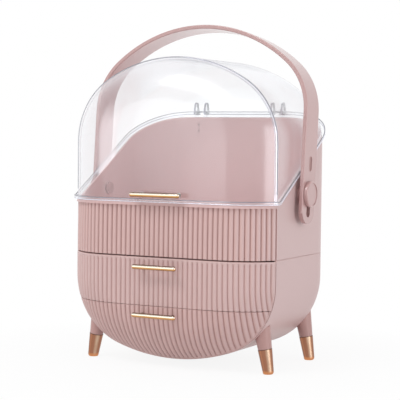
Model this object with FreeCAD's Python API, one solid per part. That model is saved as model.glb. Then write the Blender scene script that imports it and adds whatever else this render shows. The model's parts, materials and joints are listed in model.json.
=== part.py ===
import FreeCAD, Part
import math
import os
from FreeCAD import Vector

# Makeup storage case with a carrying handle.  Millimetres, +Z up, front towards -Y.
# A capsule-shaped body with a cushioned front stands on four splayed legs.  It holds an open
# top compartment under a clear flip cover, a middle drawer and a bottom drawer.

# ---------------------------------------------------------------- driving dimensions
# capsule outline, seen from the front
BODY_WIDTH = 280.0
BODY_BOTTOM_Z = 9.5
CORNER_RADIUS = 90.0
BOWL_DROP = 98.5             # from the straight sides' lower end down to the bottom
STRAIGHT_HEIGHT = 167.0
ARCH_RISE = 104.5            # from the straight sides' upper end up to the top

# depth, seen from above
BODY_DEPTH = 170.0           # crisp front edge to back
REAR_ROUNDING = 50.0
FRONT_BULGE = 36.0           # how far the front cushion stands out of its crisp edge
BULGE_RADIUS = 72.0          # roll of the cushion's edge

# walls and seams
SHELL_WALL = 3.0
COVER_WALL = 2.4
FLOOR_THICKNESS = 3.0
SHELL_SEAM_Z = 138.0         # upper shell stands on lower shell
SEAM_GROOVE = 0.8
DRAWER_TOP_GAP = 1.6
DRAWER_SEAM_Z = 77.5
DRAWER_SEAM_GAP = 1.0
RIM_FRONT_Z = 203.0          # top of the pink rim, front
RIM_BACK_Z = 309.0           # top of the pink rim, back
PLAIN_BAND_HEIGHT = 6.0      # smooth band between the rim and the flutes

# flutes
FLUTES_PER_HALF = 23
FLUTE_DEPTH = 1.1

# drawers
FRONT_WALL = 2.8
FRONT_REAR_GAP = 0.6         # drawer front to shell
BACKING_THICKNESS = 2.0
BACKING_LEDGE = 1.2
BACKING_FIT = 0.15
TRAY_INSET = 14.0
TRAY_WALL = 2.2
TRAY_TOP_GAP = 5.0
RUN_GAP = 0.3                # sliding clearance
SHELF_THICKNESS = 2.6
RUNNER_HEIGHT = 6.0
RUNNER_FRONT_Y = 24.0
MIDDLE_RUNNER_Z = 88.0
LOWER_RUNNER_Z = 62.0
SKID_X = 45.0
SKID_WIDTH = 10.0
SHELF_SETBACK = 2.0          # shelf's front edge behind the crisp front edge

# pulls
PULL_BAR_RADIUS = 2.9
PULL_POST_RADIUS = 2.0
PULL_STANDOFF = 11.1         # front face to bar axis
PULL_POST_INSET = 9.0
DRAWER_PULL_LENGTH = 61.0
COVER_PULL_LENGTH = 69.0
MIDDLE_PULL_Z = 125.5
LOWER_PULL_Z = 67.0
COVER_PULL_Z = 212.5
PULL_SCREW_RADIUS = 1.0
PULL_SCREW_HEAD_RADIUS = 3.0
PULL_SCREW_HEAD = 1.6
PULL_SCREW_BITE = 7.0
PULL_PAD_RADIUS = 4.0        # pads inside the drawer fronts that the screw heads bear on
PULL_PAD_DEPTH = 4.0         # front face to the back of a pad

# cover
FLANGE_THICKNESS = 4.0
FLANGE_REACH = 4.5
COVER_SEAT_GAP = 0.3
HINGE_X = 57.0
HINGE_AXIS_BEHIND = 5.5      # behind the back wall
HINGE_AXIS_ABOVE = 6.5       # above the rim at the back
KNUCKLE_RADIUS = 4.0
KNUCKLE_WIDTH = 13.4
LUG_THICKNESS = 3.0
LUG_GAP = 0.4
LUG_HEIGHT = 12.5            # above the hinge axis
LUG_HALF_DEPTH = 4.5
LUG_STEM_BEHIND_AXIS = 2.2
LUG_CROWN_RADIUS = 3.4
LUG_CROWN_SETBACK = 1.2      # crown in front of the hinge axis
HINGE_POCKET_SETBACK = 0.5   # gap in the flange for the knuckles, behind the back wall
HINGE_PIN_RADIUS = 1.5
PIN_RUNNING_FIT = 0.05
BRACKET_THICKNESS = 3.0
BRACKET_HEIGHT = 24.0
BRACKET_TOP_GAP = 2.0        # plate's top below the rim
BRACKET_NECK_HEIGHT = 8.0
BRACKET_SCREW_LOW = 4.8      # above the bracket's bottom
BRACKET_SCREW_HIGH = 13.2
BRACKET_SCREW_RADIUS = 1.2
BRACKET_SCREW_HEAD_RADIUS = 2.4
BRACKET_SCREW_HEAD = 1.2

# handle
HANDLE_SIDE_GAP = 5.9        # shell to the band's inner face
HANDLE_THICKNESS = 5.0
HANDLE_BAND_WIDTH = 36.0
HANDLE_CORNER_RADIUS = 82.0
HANDLE_ARM_HEIGHT = 101.0    # pivot to the start of the arch
HANDLE_ARCH_RISE = 107.5
HANDLE_FOOT_BELOW_PIVOT = 36.0
HANDLE_LEAN_DEG = 5.0
HANDLE_EDGE_ROUNDING = 1.2
PIVOT_Y = 67.0               # behind the crisp front edge
PIVOT_Z = 214.0
PIVOT_PIN_RADIUS = 4.6
SLOT_CLEARANCE = 0.4
LIFT_TRAVEL = 22.5
LIFT_SPARE = 0.5
KNOB_RADIUS = 16.2
KNOB_THICKNESS = 4.6
KNOB_GAP = 0.4
KNOB_DISH_DEPTH = 0.8
KNOB_RIM = 2.4
KNOB_ROUNDING = 1.8
BOSS_RADIUS = 11.0
BOSS_GAP = 0.4
PIVOT_CLIP_RADIUS = 8.0
PIVOT_CLIP_THICKNESS = 3.0
PIVOT_PIN_PROUD = 1.0        # pin's end beyond its clip
RECESS_ABOVE_PIVOT = 37.0
RECESS_LENGTH = 18.0
RECESS_WIDTH = 8.0
RECESS_DEPTH = 0.8

# legs
LEG_TIP_INSET = 15.0         # tip inside the body's width
LEG_FRONT_Y = 14.0
LEG_REAR_INSET = 36.0        # rear legs in front of the back wall
LEG_SPLAY_DEG = 10.0
LEG_TIP_RADIUS = 6.2
LEG_TOP_RADIUS = 12.6        # at the leg's full reach
LEG_CAP_LENGTH = 30.0
LEG_CAP_PROUD = 0.3
LEG_TIP_ROUNDING = 4.0
LEG_FOOT_FLAT = 0.25         # ground off the rounded tip, so that it stands on a flat
LEG_REACH = 85.0
LEG_SPIGOT_RADIUS = 5.0
LEG_SPIGOT_LENGTH = 14.0
LEG_STUD_RADIUS = 2.5
LEG_STUD_BOTTOM = 34.0
LEG_BOSS_RADIUS = 7.5
LEG_FRONT_BOSS_TOP = 56.5    # distances up the leg's axis
LEG_REAR_BOSS_TOP = 61.0
LEG_NUT_RADIUS = 4.5
LEG_NUT_HEIGHT = 2.6
LEG_STUD_PROUD = 0.6

# screws that join the shells
SHELL_SCREW_INSET = 8.3      # from the side wall's outer face
SHELL_SCREW_FRONT_Y = 22.0
SHELL_SCREW_REAR_INSET = 58.0
SHELL_SCREW_RADIUS = 1.5
SHELL_SCREW_HEAD_RADIUS = 3.0
SHELL_SCREW_HEAD = 2.0
SHELL_SCREW_LENGTH = 17.0
SHELL_BOSS_RADIUS = 4.4
SHELL_BOSS_HEIGHT = 20.0

# ---------------------------------------------------------------- values worked out from these
HALF_WIDTH = BODY_WIDTH / 2.0
CORNER_X = HALF_WIDTH - CORNER_RADIUS
LOWER_SPRING_Z = BODY_BOTTOM_Z + BOWL_DROP
UPPER_SPRING_Z = LOWER_SPRING_Z + STRAIGHT_HEIGHT
ROLL_ANGLE = math.acos(1.0 - FRONT_BULGE / BULGE_RADIUS)
ROLL_EXCESS = BULGE_RADIUS * (1.0 - math.sin(ROLL_ANGLE))
FLAT_HALF = HALF_WIDTH - BULGE_RADIUS * math.sin(ROLL_ANGLE)
RIM_SLOPE = (RIM_BACK_Z - RIM_FRONT_Z) / BODY_DEPTH
RIM_TILT = math.atan(RIM_SLOPE)
HINGE_Y = BODY_DEPTH + HINGE_AXIS_BEHIND
HINGE_Z = RIM_BACK_Z + HINGE_AXIS_ABOVE
PULL_FRONT_Y = -FRONT_BULGE - PULL_STANDOFF - PULL_BAR_RADIUS
HINGE_BACK_Y = HINGE_Y + LUG_HALF_DEPTH
FRONT_EDGE_Y = -(PULL_FRONT_Y + HINGE_BACK_Y) / 2.0
FLUTE_TOP_Z = RIM_FRONT_Z - PLAIN_BAND_HEIGHT
MIDDLE_FRONT_BOTTOM = DRAWER_SEAM_Z + DRAWER_SEAM_GAP / 2.0
MIDDLE_FRONT_TOP = SHELL_SEAM_Z - DRAWER_TOP_GAP
LOWER_FRONT_TOP = DRAWER_SEAM_Z - DRAWER_SEAM_GAP / 2.0
SHELF_TOP_Z = MIDDLE_FRONT_BOTTOM - RUN_GAP
SHELF_BOTTOM_Z = SHELF_TOP_Z - SHELF_THICKNESS
ARM_INNER_X = HALF_WIDTH + HANDLE_SIDE_GAP
ARM_OUTER_X = ARM_INNER_X + HANDLE_THICKNESS
HANDLE_SPRING_Z = PIVOT_Z + HANDLE_ARM_HEIGHT
RUNNER_REAR_Y = BODY_DEPTH - REAR_ROUNDING
LEG_TIP_X = HALF_WIDTH - LEG_TIP_INSET
LEG_REAR_Y = BODY_DEPTH - LEG_REAR_INSET
LEG_TAPER = (LEG_TOP_RADIUS - LEG_TIP_RADIUS) / LEG_REACH
SHELL_SCREW_X = HALF_WIDTH - SHELL_SCREW_INSET
SHELL_SCREW_REAR_Y = BODY_DEPTH - SHELL_SCREW_REAR_INSET
LUG_INNER = KNUCKLE_WIDTH / 2.0 + LUG_GAP
LUG_OUTER = LUG_INNER + LUG_THICKNESS
FAR = 600.0                  # larger than the part, for cutting blocks
MARGIN = 1.0                 # how far a cutting shape runs past what it cuts
COINCIDENT = 1e-4            # two faces nearer than this are in one plane


# ---------------------------------------------------------------- helpers
def box(x0, x1, y0, y1, z0, z1):
    return Part.makeBox(x1 - x0, y1 - y0, z1 - z0, Vector(x0, y0, z0))


def slab(z0, z1):
    return box(-FAR, FAR, -FAR, FAR, z0, z1)


def rod(radius, start, end):
    axis = Vector(*end) - Vector(*start)
    return Part.makeCylinder(radius, axis.Length, Vector(*start), axis)


def mirrored(shape):
    return shape.mirror(Vector(0, 0, 0), Vector(1, 0, 0))


def fused(shapes):
    return shapes[0].multiFuse(shapes[1:]).removeSplitter()


def export(name, shape):
    placed = shape.copy()
    placed.translate(Vector(0, FRONT_EDGE_Y, 0))
    solids = placed.Solids
    whole = solids[0] if len(solids) == 1 else Part.makeCompound(solids)
    whole.exportStep("parts/%s.step" % name)
    bounds = whole.BoundBox
    print("%-26s solids %2d  volume %9.0f  y %.1f..%.1f  z %.1f..%.1f  valid %s" % (
        name, len(solids), whole.Volume, bounds.YMin, bounds.YMax, bounds.ZMin, bounds.ZMax,
        whole.isValid()))


# ---------------------------------------------------------------- capsule outline and envelope
def crown_radius(corner_x, rise, corner_radius):
    # radius of the arc that closes two corner arcs and passes the given rise above their centres
    return (corner_x ** 2 + rise ** 2 - corner_radius ** 2) / (2.0 * (rise - corner_radius))


def corner_and_crown(corner_x, spring_z, rise, corner_radius, sign, offset):
    # points of one end of the outline: side, corner middle, tangent point, crown middle
    big = crown_radius(corner_x, rise, corner_radius)
    crown_z = spring_z + sign * (rise - big)
    reach = math.hypot(corner_x, spring_z - crown_z)
    turn = math.atan2(abs(spring_z - crown_z), corner_x)
    radius = corner_radius + offset
    side = (corner_x + radius, spring_z)
    middle = (corner_x + radius * math.cos(turn / 2.0),
              spring_z + sign * radius * math.sin(turn / 2.0))
    tangent = (corner_x * (big + offset) / reach,
               crown_z + sign * abs(spring_z - crown_z) * (big + offset) / reach)
    top = (0.0, crown_z + sign * (big + offset))
    return side, middle, tangent, top


def capsule_face(offset, y):
    upper = corner_and_crown(CORNER_X, UPPER_SPRING_Z, ARCH_RISE, CORNER_RADIUS, 1, offset)
    lower = corner_and_crown(CORNER_X, LOWER_SPRING_Z, BOWL_DROP, CORNER_RADIUS, -1, offset)

    def at(point, side=1):
        return Vector(side * point[0], y, point[1])

    edges = [
        Part.makeLine(at(lower[0]), at(upper[0])),
        Part.Arc(at(upper[0]), at(upper[1]), at(upper[2])).toShape(),
        Part.Arc(at(upper[2]), at(upper[3]), at(upper[2], -1)).toShape(),
        Part.Arc(at(upper[2], -1), at(upper[1], -1), at(upper[0], -1)).toShape(),
        Part.makeLine(at(upper[0], -1), at(lower[0], -1)),
        Part.Arc(at(lower[0], -1), at(lower[1], -1), at(lower[2], -1)).toShape(),
        Part.Arc(at(lower[2], -1), at(lower[3]), at(lower[2])).toShape(),
        Part.Arc(at(lower[2]), at(lower[1]), at(lower[0])).toShape(),
    ]
    return Part.Face(Part.Wire(edges))


def edges_at_y(shape, y):
    return [edge for edge in shape.Edges
            if abs(edge.BoundBox.YMin - y) < COINCIDENT and abs(edge.BoundBox.YMax - y) < COINCIDENT]


def capsule_body(offset, front_y):
    # straight capsule with its rear edge rounded
    back_y = BODY_DEPTH + offset
    block = capsule_face(offset, front_y).extrude(Vector(0, back_y - front_y, 0))
    return block.makeFillet(REAR_ROUNDING + offset, edges_at_y(block, back_y))


def envelope(offset):
    # capsule body with the cushioned front, the crisp edge between them at y = 0
    front_y = -FRONT_BULGE - offset
    wide = capsule_face(ROLL_EXCESS + offset, front_y)
    wide = wide.extrude(Vector(0, BODY_DEPTH + FRONT_BULGE + FAR, 0))
    cushion = wide.makeFillet(BULGE_RADIUS + offset, edges_at_y(wide, front_y))
    return capsule_body(offset, front_y - MARGIN).common(cushion)


def plan_point(arc_length, inset):
    # point of the front's plan curve at a signed distance from its middle, inset from the surface
    side = 1.0 if arc_length >= 0 else -1.0
    distance = abs(arc_length)
    if distance <= FLAT_HALF:
        return side * distance, -FRONT_BULGE + inset
    angle = (distance - FLAT_HALF) / BULGE_RADIUS
    radius = BULGE_RADIUS - inset
    x = side * (FLAT_HALF + radius * math.sin(angle))
    return x, -FRONT_BULGE + BULGE_RADIUS - radius * math.cos(angle)


def fluted_prism(z0, z1):
    half_length = FLAT_HALF + BULGE_RADIUS * ROLL_ANGLE
    pitch = half_length / FLUTES_PER_HALF
    edges = []
    for index in range(-FLUTES_PER_HALF, FLUTES_PER_HALF):
        first = plan_point(index * pitch, FLUTE_DEPTH)
        crest = plan_point((index + 0.5) * pitch, 0.0)
        last = plan_point((index + 1) * pitch, FLUTE_DEPTH)
        points = [Vector(x, y, z0) for x, y in (first, crest, last)]
        edges.append(Part.Arc(*points).toShape())
    left = plan_point(-half_length, FLUTE_DEPTH)
    right = plan_point(half_length, FLUTE_DEPTH)
    edge_x = HALF_WIDTH + MARGIN
    corners = [Vector(right[0], right[1], z0), Vector(edge_x, right[1], z0),
               Vector(edge_x, MARGIN, z0), Vector(-edge_x, MARGIN, z0),
               Vector(-edge_x, left[1], z0), Vector(left[0], left[1], z0)]
    for start, end in zip(corners[:-1], corners[1:]):
        edges.append(Part.makeLine(start, end))
    face = Part.Face(Part.Wire(Part.__sortEdges__(edges)))
    return face.extrude(Vector(0, 0, z1 - z0))


def flute_grooves(z0, z1):
    # what the flutes leave out of a smooth front between two heights
    edge_x = HALF_WIDTH + MARGIN
    front = box(-edge_x, edge_x, -FRONT_BULGE - MARGIN, 0.0, z0, z1)
    return front.cut(fluted_prism(z0 - MARGIN, z1 + MARGIN))


def below_rim(height):
    # everything under the rim: level in front, rising to the back, offset square to the rim
    kink = -height * math.tan(RIM_TILT / 2.0)
    level = RIM_FRONT_Z + height
    points = [Vector(-FAR, -FAR, -FAR), Vector(-FAR, -FAR, level), Vector(-FAR, kink, level),
              Vector(-FAR, FAR, level + (FAR - kink) * RIM_SLOPE), Vector(-FAR, FAR, -FAR)]
    return Part.Face(Part.makePolygon(points + points[:1])).extrude(Vector(2 * FAR, 0, 0))


OUTER = envelope(0.0)
OUTER_CAPSULE = capsule_body(0.0, -FAR)
INNER = envelope(-SHELL_WALL)
INNER_CAPSULE = capsule_body(-SHELL_WALL, -FAR)
TRAY_OUTER = capsule_body(-TRAY_INSET, -FAR)
TRAY_RUN = capsule_body(-TRAY_INSET + RUN_GAP, -FAR)


# ---------------------------------------------------------------- legs
def leg_axis_point(x_side, y, distance):
    splay = math.radians(LEG_SPLAY_DEG)
    return (x_side * (LEG_TIP_X - distance * math.sin(splay)), y, distance * math.cos(splay))


def leg_radius(distance):
    return LEG_TIP_RADIUS + LEG_TAPER * distance


def leg_cone(x_side, y, start, end, grow=0.0):
    foot = Vector(*leg_axis_point(x_side, y, start))
    axis = Vector(*leg_axis_point(x_side, y, end)) - foot
    return Part.makeCone(leg_radius(start) + grow, leg_radius(end) + grow, axis.Length, foot, axis)


def make_leg(x_side, y):
    shaft = leg_cone(x_side, y, LEG_CAP_LENGTH, LEG_REACH).cut(OUTER_CAPSULE)
    shaft = min(shaft.Solids, key=lambda solid: solid.CenterOfMass.z)
    spigot = rod(LEG_SPIGOT_RADIUS, leg_axis_point(x_side, y, LEG_CAP_LENGTH - LEG_SPIGOT_LENGTH),
                 leg_axis_point(x_side, y, LEG_CAP_LENGTH + MARGIN))
    stud_hole = rod(LEG_STUD_RADIUS, leg_axis_point(x_side, y, LEG_STUD_BOTTOM),
                    leg_axis_point(x_side, y, LEG_REACH))
    return shaft.fuse(spigot).cut(stud_hole)


def make_leg_cap(x_side, y):
    sink = LEG_FOOT_FLAT + LEG_TIP_RADIUS * math.sin(math.radians(LEG_SPLAY_DEG))
    cone = leg_cone(x_side, y, -sink, LEG_CAP_LENGTH, LEG_CAP_PROUD)
    tip = [edge for edge in cone.Edges if edge.Closed and edge.BoundBox.ZMax < LEG_CAP_LENGTH / 2.0]
    cone = cone.makeFillet(LEG_TIP_ROUNDING, tip).cut(slab(-FAR, 0.0))
    bore = rod(LEG_SPIGOT_RADIUS, leg_axis_point(x_side, y, LEG_CAP_LENGTH - LEG_SPIGOT_LENGTH),
               leg_axis_point(x_side, y, LEG_CAP_LENGTH + MARGIN))
    return cone.cut(bore)


def leg_places():
    # name, side, y and the height of the boss inside the shell
    return [("front_left", -1, LEG_FRONT_Y, LEG_FRONT_BOSS_TOP),
            ("front_right", 1, LEG_FRONT_Y, LEG_FRONT_BOSS_TOP),
            ("rear_left", -1, LEG_REAR_Y, LEG_REAR_BOSS_TOP),
            ("rear_right", 1, LEG_REAR_Y, LEG_REAR_BOSS_TOP)]


def make_leg_boss(x_side, y, top):
    boss = rod(LEG_BOSS_RADIUS, leg_axis_point(x_side, y, LEG_STUD_BOTTOM),
               leg_axis_point(x_side, y, top))
    return boss.common(OUTER_CAPSULE)


def make_leg_stud(x_side, y, boss_top):
    return rod(LEG_STUD_RADIUS, leg_axis_point(x_side, y, LEG_STUD_BOTTOM),
               leg_axis_point(x_side, y, boss_top + LEG_NUT_HEIGHT + LEG_STUD_PROUD))


def make_leg_nut(x_side, y, boss_top):
    nut = rod(LEG_NUT_RADIUS, leg_axis_point(x_side, y, boss_top),
              leg_axis_point(x_side, y, boss_top + LEG_NUT_HEIGHT))
    return nut.cut(make_leg_stud(x_side, y, boss_top))


# ---------------------------------------------------------------- shells
def shell_screw_places():
    return [(x, y) for x in (-SHELL_SCREW_X, SHELL_SCREW_X)
            for y in (SHELL_SCREW_FRONT_Y, SHELL_SCREW_REAR_Y)]


def shell_screw_bore(x, y):
    return rod(SHELL_SCREW_RADIUS, (x, y, SHELL_SEAM_Z + FLOOR_THICKNESS - SHELL_SCREW_LENGTH),
               (x, y, SHELL_SEAM_Z + FLOOR_THICKNESS))


def make_upper_shell():
    body = OUTER.common(below_rim(0.0)).common(slab(SHELL_SEAM_Z, FAR))
    room = INNER.common(slab(SHELL_SEAM_Z + FLOOR_THICKNESS, FAR))
    body = body.cut(room).cut(flute_grooves(SHELL_SEAM_Z, FLUTE_TOP_Z))
    for x, y in shell_screw_places():
        body = body.cut(shell_screw_bore(x, y))
    for side in (-1, 1):
        body = body.cut(rod(PIVOT_PIN_RADIUS + PIN_RUNNING_FIT,
                            (side * (HALF_WIDTH - SHELL_WALL - MARGIN), PIVOT_Y, PIVOT_Z),
                            (side * (HALF_WIDTH + MARGIN), PIVOT_Y, PIVOT_Z)))
        for z in bracket_screw_heights():
            body = body.cut(bracket_screw_bore(side * HINGE_X, z))
    return body


def make_lower_shell():
    body = OUTER_CAPSULE.common(box(-FAR, FAR, 0.0, FAR, -FAR, SHELL_SEAM_Z))
    body = body.cut(INNER_CAPSULE)
    bosses = []
    for x, y in shell_screw_places():
        post = rod(SHELL_BOSS_RADIUS, (x, y, SHELL_SEAM_Z - SHELL_BOSS_HEIGHT), (x, y, SHELL_SEAM_Z))
        side = 1 if x > 0 else -1
        wall_x = side * (HALF_WIDTH - SHELL_WALL / 2.0)
        web = box(min(x, wall_x), max(x, wall_x), y - SHELL_BOSS_RADIUS, y + SHELL_BOSS_RADIUS,
                  SHELL_SEAM_Z - SHELL_BOSS_HEIGHT, SHELL_SEAM_Z)
        bosses += [post, web]
    for name, side, y, boss_top in leg_places():
        bosses.append(make_leg_boss(side, y, boss_top))
    body = body.multiFuse(bosses)
    for x, y in shell_screw_places():
        body = body.cut(shell_screw_bore(x, y))
    for name, side, y, boss_top in leg_places():
        body = body.cut(make_leg_stud(side, y, boss_top))
    groove = slab(SHELL_SEAM_Z - SEAM_GROOVE, SHELL_SEAM_Z)
    groove = groove.common(OUTER_CAPSULE).cut(capsule_body(-SEAM_GROOVE, -FAR))
    return body.cut(groove)


def make_shell_screws():
    screws = []
    seat = SHELL_SEAM_Z + FLOOR_THICKNESS
    for x, y in shell_screw_places():
        head = rod(SHELL_SCREW_HEAD_RADIUS, (x, y, seat), (x, y, seat + SHELL_SCREW_HEAD))
        screws.append(shell_screw_bore(x, y).fuse(head))
    return Part.makeCompound(screws)


def make_shelf():
    return INNER_CAPSULE.common(box(-FAR, FAR, SHELF_SETBACK, FAR, SHELF_BOTTOM_Z, SHELF_TOP_Z))


def make_runner(side, z):
    block = box(0, FAR, RUNNER_FRONT_Y, RUNNER_REAR_Y, z, z + RUNNER_HEIGHT)
    if side < 0:
        block = mirrored(block)
    return INNER_CAPSULE.common(block).cut(TRAY_RUN)


def make_skid(side):
    x = side * SKID_X
    block = box(x - SKID_WIDTH / 2.0, x + SKID_WIDTH / 2.0, RUNNER_FRONT_Y, RUNNER_REAR_Y,
                0.0, LOWER_SPRING_Z / 2.0)
    return INNER_CAPSULE.common(block).cut(TRAY_RUN)


# ---------------------------------------------------------------- drawers
def make_drawer_front(z0, z1, pull_z, fluted):
    rear_y = -FRONT_REAR_GAP
    ledge_y = rear_y - BACKING_THICKNESS
    body = OUTER.common(box(-FAR, FAR, -FAR, rear_y, z0, z1))
    hollow = envelope(-FRONT_WALL).common(
        box(-FAR, FAR, -FAR, ledge_y, z0 + FRONT_WALL, z1 - FRONT_WALL))
    rebate = capsule_body(-BACKING_LEDGE, -FAR).common(
        box(-FAR, FAR, ledge_y, rear_y + MARGIN, z0 + BACKING_LEDGE, z1 - BACKING_LEDGE))
    for x in pull_post_places(DRAWER_PULL_LENGTH):
        hollow = hollow.cut(rod(PULL_PAD_RADIUS, (x, -FRONT_BULGE, pull_z),
                                (x, -FRONT_BULGE + PULL_PAD_DEPTH, pull_z)))
    body = body.cut(hollow).cut(rebate)
    if fluted:
        body = body.cut(flute_grooves(z0, z1))
    for x in pull_post_places(DRAWER_PULL_LENGTH):
        body = body.cut(pull_screw_hole(x, pull_z))
    return body


def make_tray(z0, z1, shelf_z):
    # tray with a backing plate that closes the drawer front
    rear_y = -FRONT_REAR_GAP
    ledge_y = rear_y - BACKING_THICKNESS
    inset = BACKING_LEDGE + BACKING_FIT
    plate = capsule_body(-inset, -FAR).common(
        box(-FAR, FAR, ledge_y, rear_y, z0 + inset, z1 - inset))
    tray_top = z1 - TRAY_TOP_GAP
    body = TRAY_OUTER.common(box(-FAR, FAR, rear_y, FAR, shelf_z, tray_top))
    hollow = capsule_body(-TRAY_INSET - TRAY_WALL, -FAR).common(
        box(-FAR, FAR, rear_y + TRAY_WALL, FAR, shelf_z + TRAY_WALL, FAR))
    return plate.fuse(body).cut(hollow)


# ---------------------------------------------------------------- pulls
def pull_post_places(length):
    half = length / 2.0 - PULL_POST_INSET
    return (-half, half)


def pull_screw_hole(x, z):
    return rod(PULL_SCREW_RADIUS, (x, -FRONT_BULGE - PULL_SCREW_BITE, z),
               (x, -FRONT_BULGE + PULL_PAD_DEPTH + MARGIN, z))


def make_pull(length, z):
    bar_y = -FRONT_BULGE - PULL_STANDOFF
    half = length / 2.0 - PULL_BAR_RADIUS
    shapes = [rod(PULL_BAR_RADIUS, (-half, bar_y, z), (half, bar_y, z))]
    for side in (-1, 1):
        shapes.append(Part.makeSphere(PULL_BAR_RADIUS, Vector(side * half, bar_y, z)))
    for x in pull_post_places(length):
        shapes.append(rod(PULL_POST_RADIUS, (x, bar_y, z), (x, -FRONT_BULGE + MARGIN, z)))
    pull = fused(shapes).cut(OUTER)
    for x in pull_post_places(length):
        pull = pull.cut(pull_screw_hole(x, z))
    return pull


def make_pull_screws(length, z, seat_depth):
    screws = []
    seat = -FRONT_BULGE + seat_depth
    for x in pull_post_places(length):
        shaft = rod(PULL_SCREW_RADIUS, (x, -FRONT_BULGE - PULL_SCREW_BITE, z), (x, seat, z))
        head = rod(PULL_SCREW_HEAD_RADIUS, (x, seat, z), (x, seat + PULL_SCREW_HEAD, z))
        screws.append(shaft.fuse(head))
    return Part.makeCompound(screws)


# ---------------------------------------------------------------- cover and hinges
def bracket_screw_heights():
    low = RIM_BACK_Z - BRACKET_HEIGHT
    return (low + BRACKET_SCREW_LOW, low + BRACKET_SCREW_HIGH)


def bracket_screw_bore(x, z):
    return rod(BRACKET_SCREW_RADIUS, (x, BODY_DEPTH - SHELL_WALL, z),
               (x, BODY_DEPTH + BRACKET_THICKNESS, z))


def make_bracket(side):
    half = KNUCKLE_WIDTH / 2.0
    x = side * HINGE_X
    plate = box(x - half, x + half, BODY_DEPTH, BODY_DEPTH + BRACKET_THICKNESS,
                RIM_BACK_Z - BRACKET_HEIGHT, RIM_BACK_Z - BRACKET_TOP_GAP)
    neck = box(x - half, x + half, HINGE_Y - KNUCKLE_RADIUS, HINGE_Y + KNUCKLE_RADIUS,
               RIM_BACK_Z - BRACKET_NECK_HEIGHT, HINGE_Z)
    knuckle = rod(KNUCKLE_RADIUS, (x - half, HINGE_Y, HINGE_Z), (x + half, HINGE_Y, HINGE_Z))
    body = fused([plate, neck, knuckle])
    body = body.cut(rod(HINGE_PIN_RADIUS, (x - half, HINGE_Y, HINGE_Z), (x + half, HINGE_Y, HINGE_Z)))
    for z in bracket_screw_heights():
        body = body.cut(bracket_screw_bore(x, z))
    return body


def make_bracket_screws():
    screws = []
    seat = BODY_DEPTH + BRACKET_THICKNESS
    for side in (-1, 1):
        for z in bracket_screw_heights():
            head = rod(BRACKET_SCREW_HEAD_RADIUS, (side * HINGE_X, seat, z),
                       (side * HINGE_X, seat + BRACKET_SCREW_HEAD, z))
            screws.append(bracket_screw_bore(side * HINGE_X, z).fuse(head))
    return Part.makeCompound(screws)


def make_hinge_pin(side):
    x = side * HINGE_X
    return rod(HINGE_PIN_RADIUS, (x - LUG_OUTER, HINGE_Y, HINGE_Z), (x + LUG_OUTER, HINGE_Y, HINGE_Z))


def make_lug(x0, x1):
    # upright ear behind the cover, with its eye around the hinge pin
    crown_y = HINGE_Y - LUG_CROWN_SETBACK
    crown_z = HINGE_Z + LUG_HEIGHT - LUG_CROWN_RADIUS
    eye = rod(LUG_HALF_DEPTH, (x0, HINGE_Y, HINGE_Z), (x1, HINGE_Y, HINGE_Z))
    stem = box(x0, x1, BODY_DEPTH - COVER_WALL, HINGE_Y + LUG_STEM_BEHIND_AXIS, HINGE_Z, crown_z)
    foot = box(x0, x1, BODY_DEPTH - COVER_WALL, HINGE_Y, HINGE_Z - LUG_HALF_DEPTH, HINGE_Z)
    crown = rod(LUG_CROWN_RADIUS, (x0, crown_y, crown_z), (x1, crown_y, crown_z))
    return fused([eye, stem, foot, crown])


def make_cover():
    above = OUTER.cut(below_rim(COVER_SEAT_GAP))
    flange = envelope(FLANGE_REACH).common(below_rim(COVER_SEAT_GAP + FLANGE_THICKNESS))
    flange = flange.cut(below_rim(COVER_SEAT_GAP))
    body = above.fuse(flange)
    lugs = []
    for side in (-1, 1):
        for inner, outer in ((-LUG_OUTER, -LUG_INNER), (LUG_INNER, LUG_OUTER)):
            lugs.append(make_lug(side * HINGE_X + inner, side * HINGE_X + outer))
    body = body.multiFuse(lugs)
    body = body.cut(envelope(-COVER_WALL))
    for side in (-1, 1):
        x = side * HINGE_X
        body = body.cut(box(x - LUG_INNER, x + LUG_INNER, BODY_DEPTH + HINGE_POCKET_SETBACK, FAR,
                            0.0, FAR))
        body = body.cut(rod(HINGE_PIN_RADIUS + PIN_RUNNING_FIT,
                            (x - LUG_OUTER - MARGIN, HINGE_Y, HINGE_Z),
                            (x + LUG_OUTER + MARGIN, HINGE_Y, HINGE_Z)))
    for x in pull_post_places(COVER_PULL_LENGTH):
        body = body.cut(pull_screw_hole(x, COVER_PULL_Z))
    return body


# ---------------------------------------------------------------- handle
def handle_face(inset, y):
    corner_x = ARM_OUTER_X - HANDLE_CORNER_RADIUS
    side, middle, tangent, top = corner_and_crown(corner_x, HANDLE_SPRING_Z, HANDLE_ARCH_RISE,
                                                  HANDLE_CORNER_RADIUS, 1, -inset)
    foot_z = PIVOT_Z - HANDLE_FOOT_BELOW_PIVOT

    def at(point, x_side=1):
        return Vector(x_side * point[0], y, point[1])

    foot = (side[0], foot_z)
    edges = [
        Part.makeLine(at(foot), at(side)),
        Part.Arc(at(side), at(middle), at(tangent)).toShape(),
        Part.Arc(at(tangent), at(top), at(tangent, -1)).toShape(),
        Part.Arc(at(tangent, -1), at(middle, -1), at(side, -1)).toShape(),
        Part.makeLine(at(side, -1), at(foot, -1)),
        Part.makeLine(at(foot, -1), at(foot)),
    ]
    return Part.Face(Part.Wire(edges))


def leaned(shape):
    tilted = shape.copy()
    tilted.rotate(Vector(0, PIVOT_Y, PIVOT_Z), Vector(1, 0, 0), -HANDLE_LEAN_DEG)
    return tilted


def stadium(radius, z_low, z_high, x0, x1):
    # upright slot shape through X, with round ends centred at two heights
    middle = box(x0, x1, PIVOT_Y - radius, PIVOT_Y + radius, z_low, z_high)
    ends = [rod(radius, (x0, PIVOT_Y, z), (x1, PIVOT_Y, z)) for z in (z_low, z_high)]
    return middle.multiFuse(ends)


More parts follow.
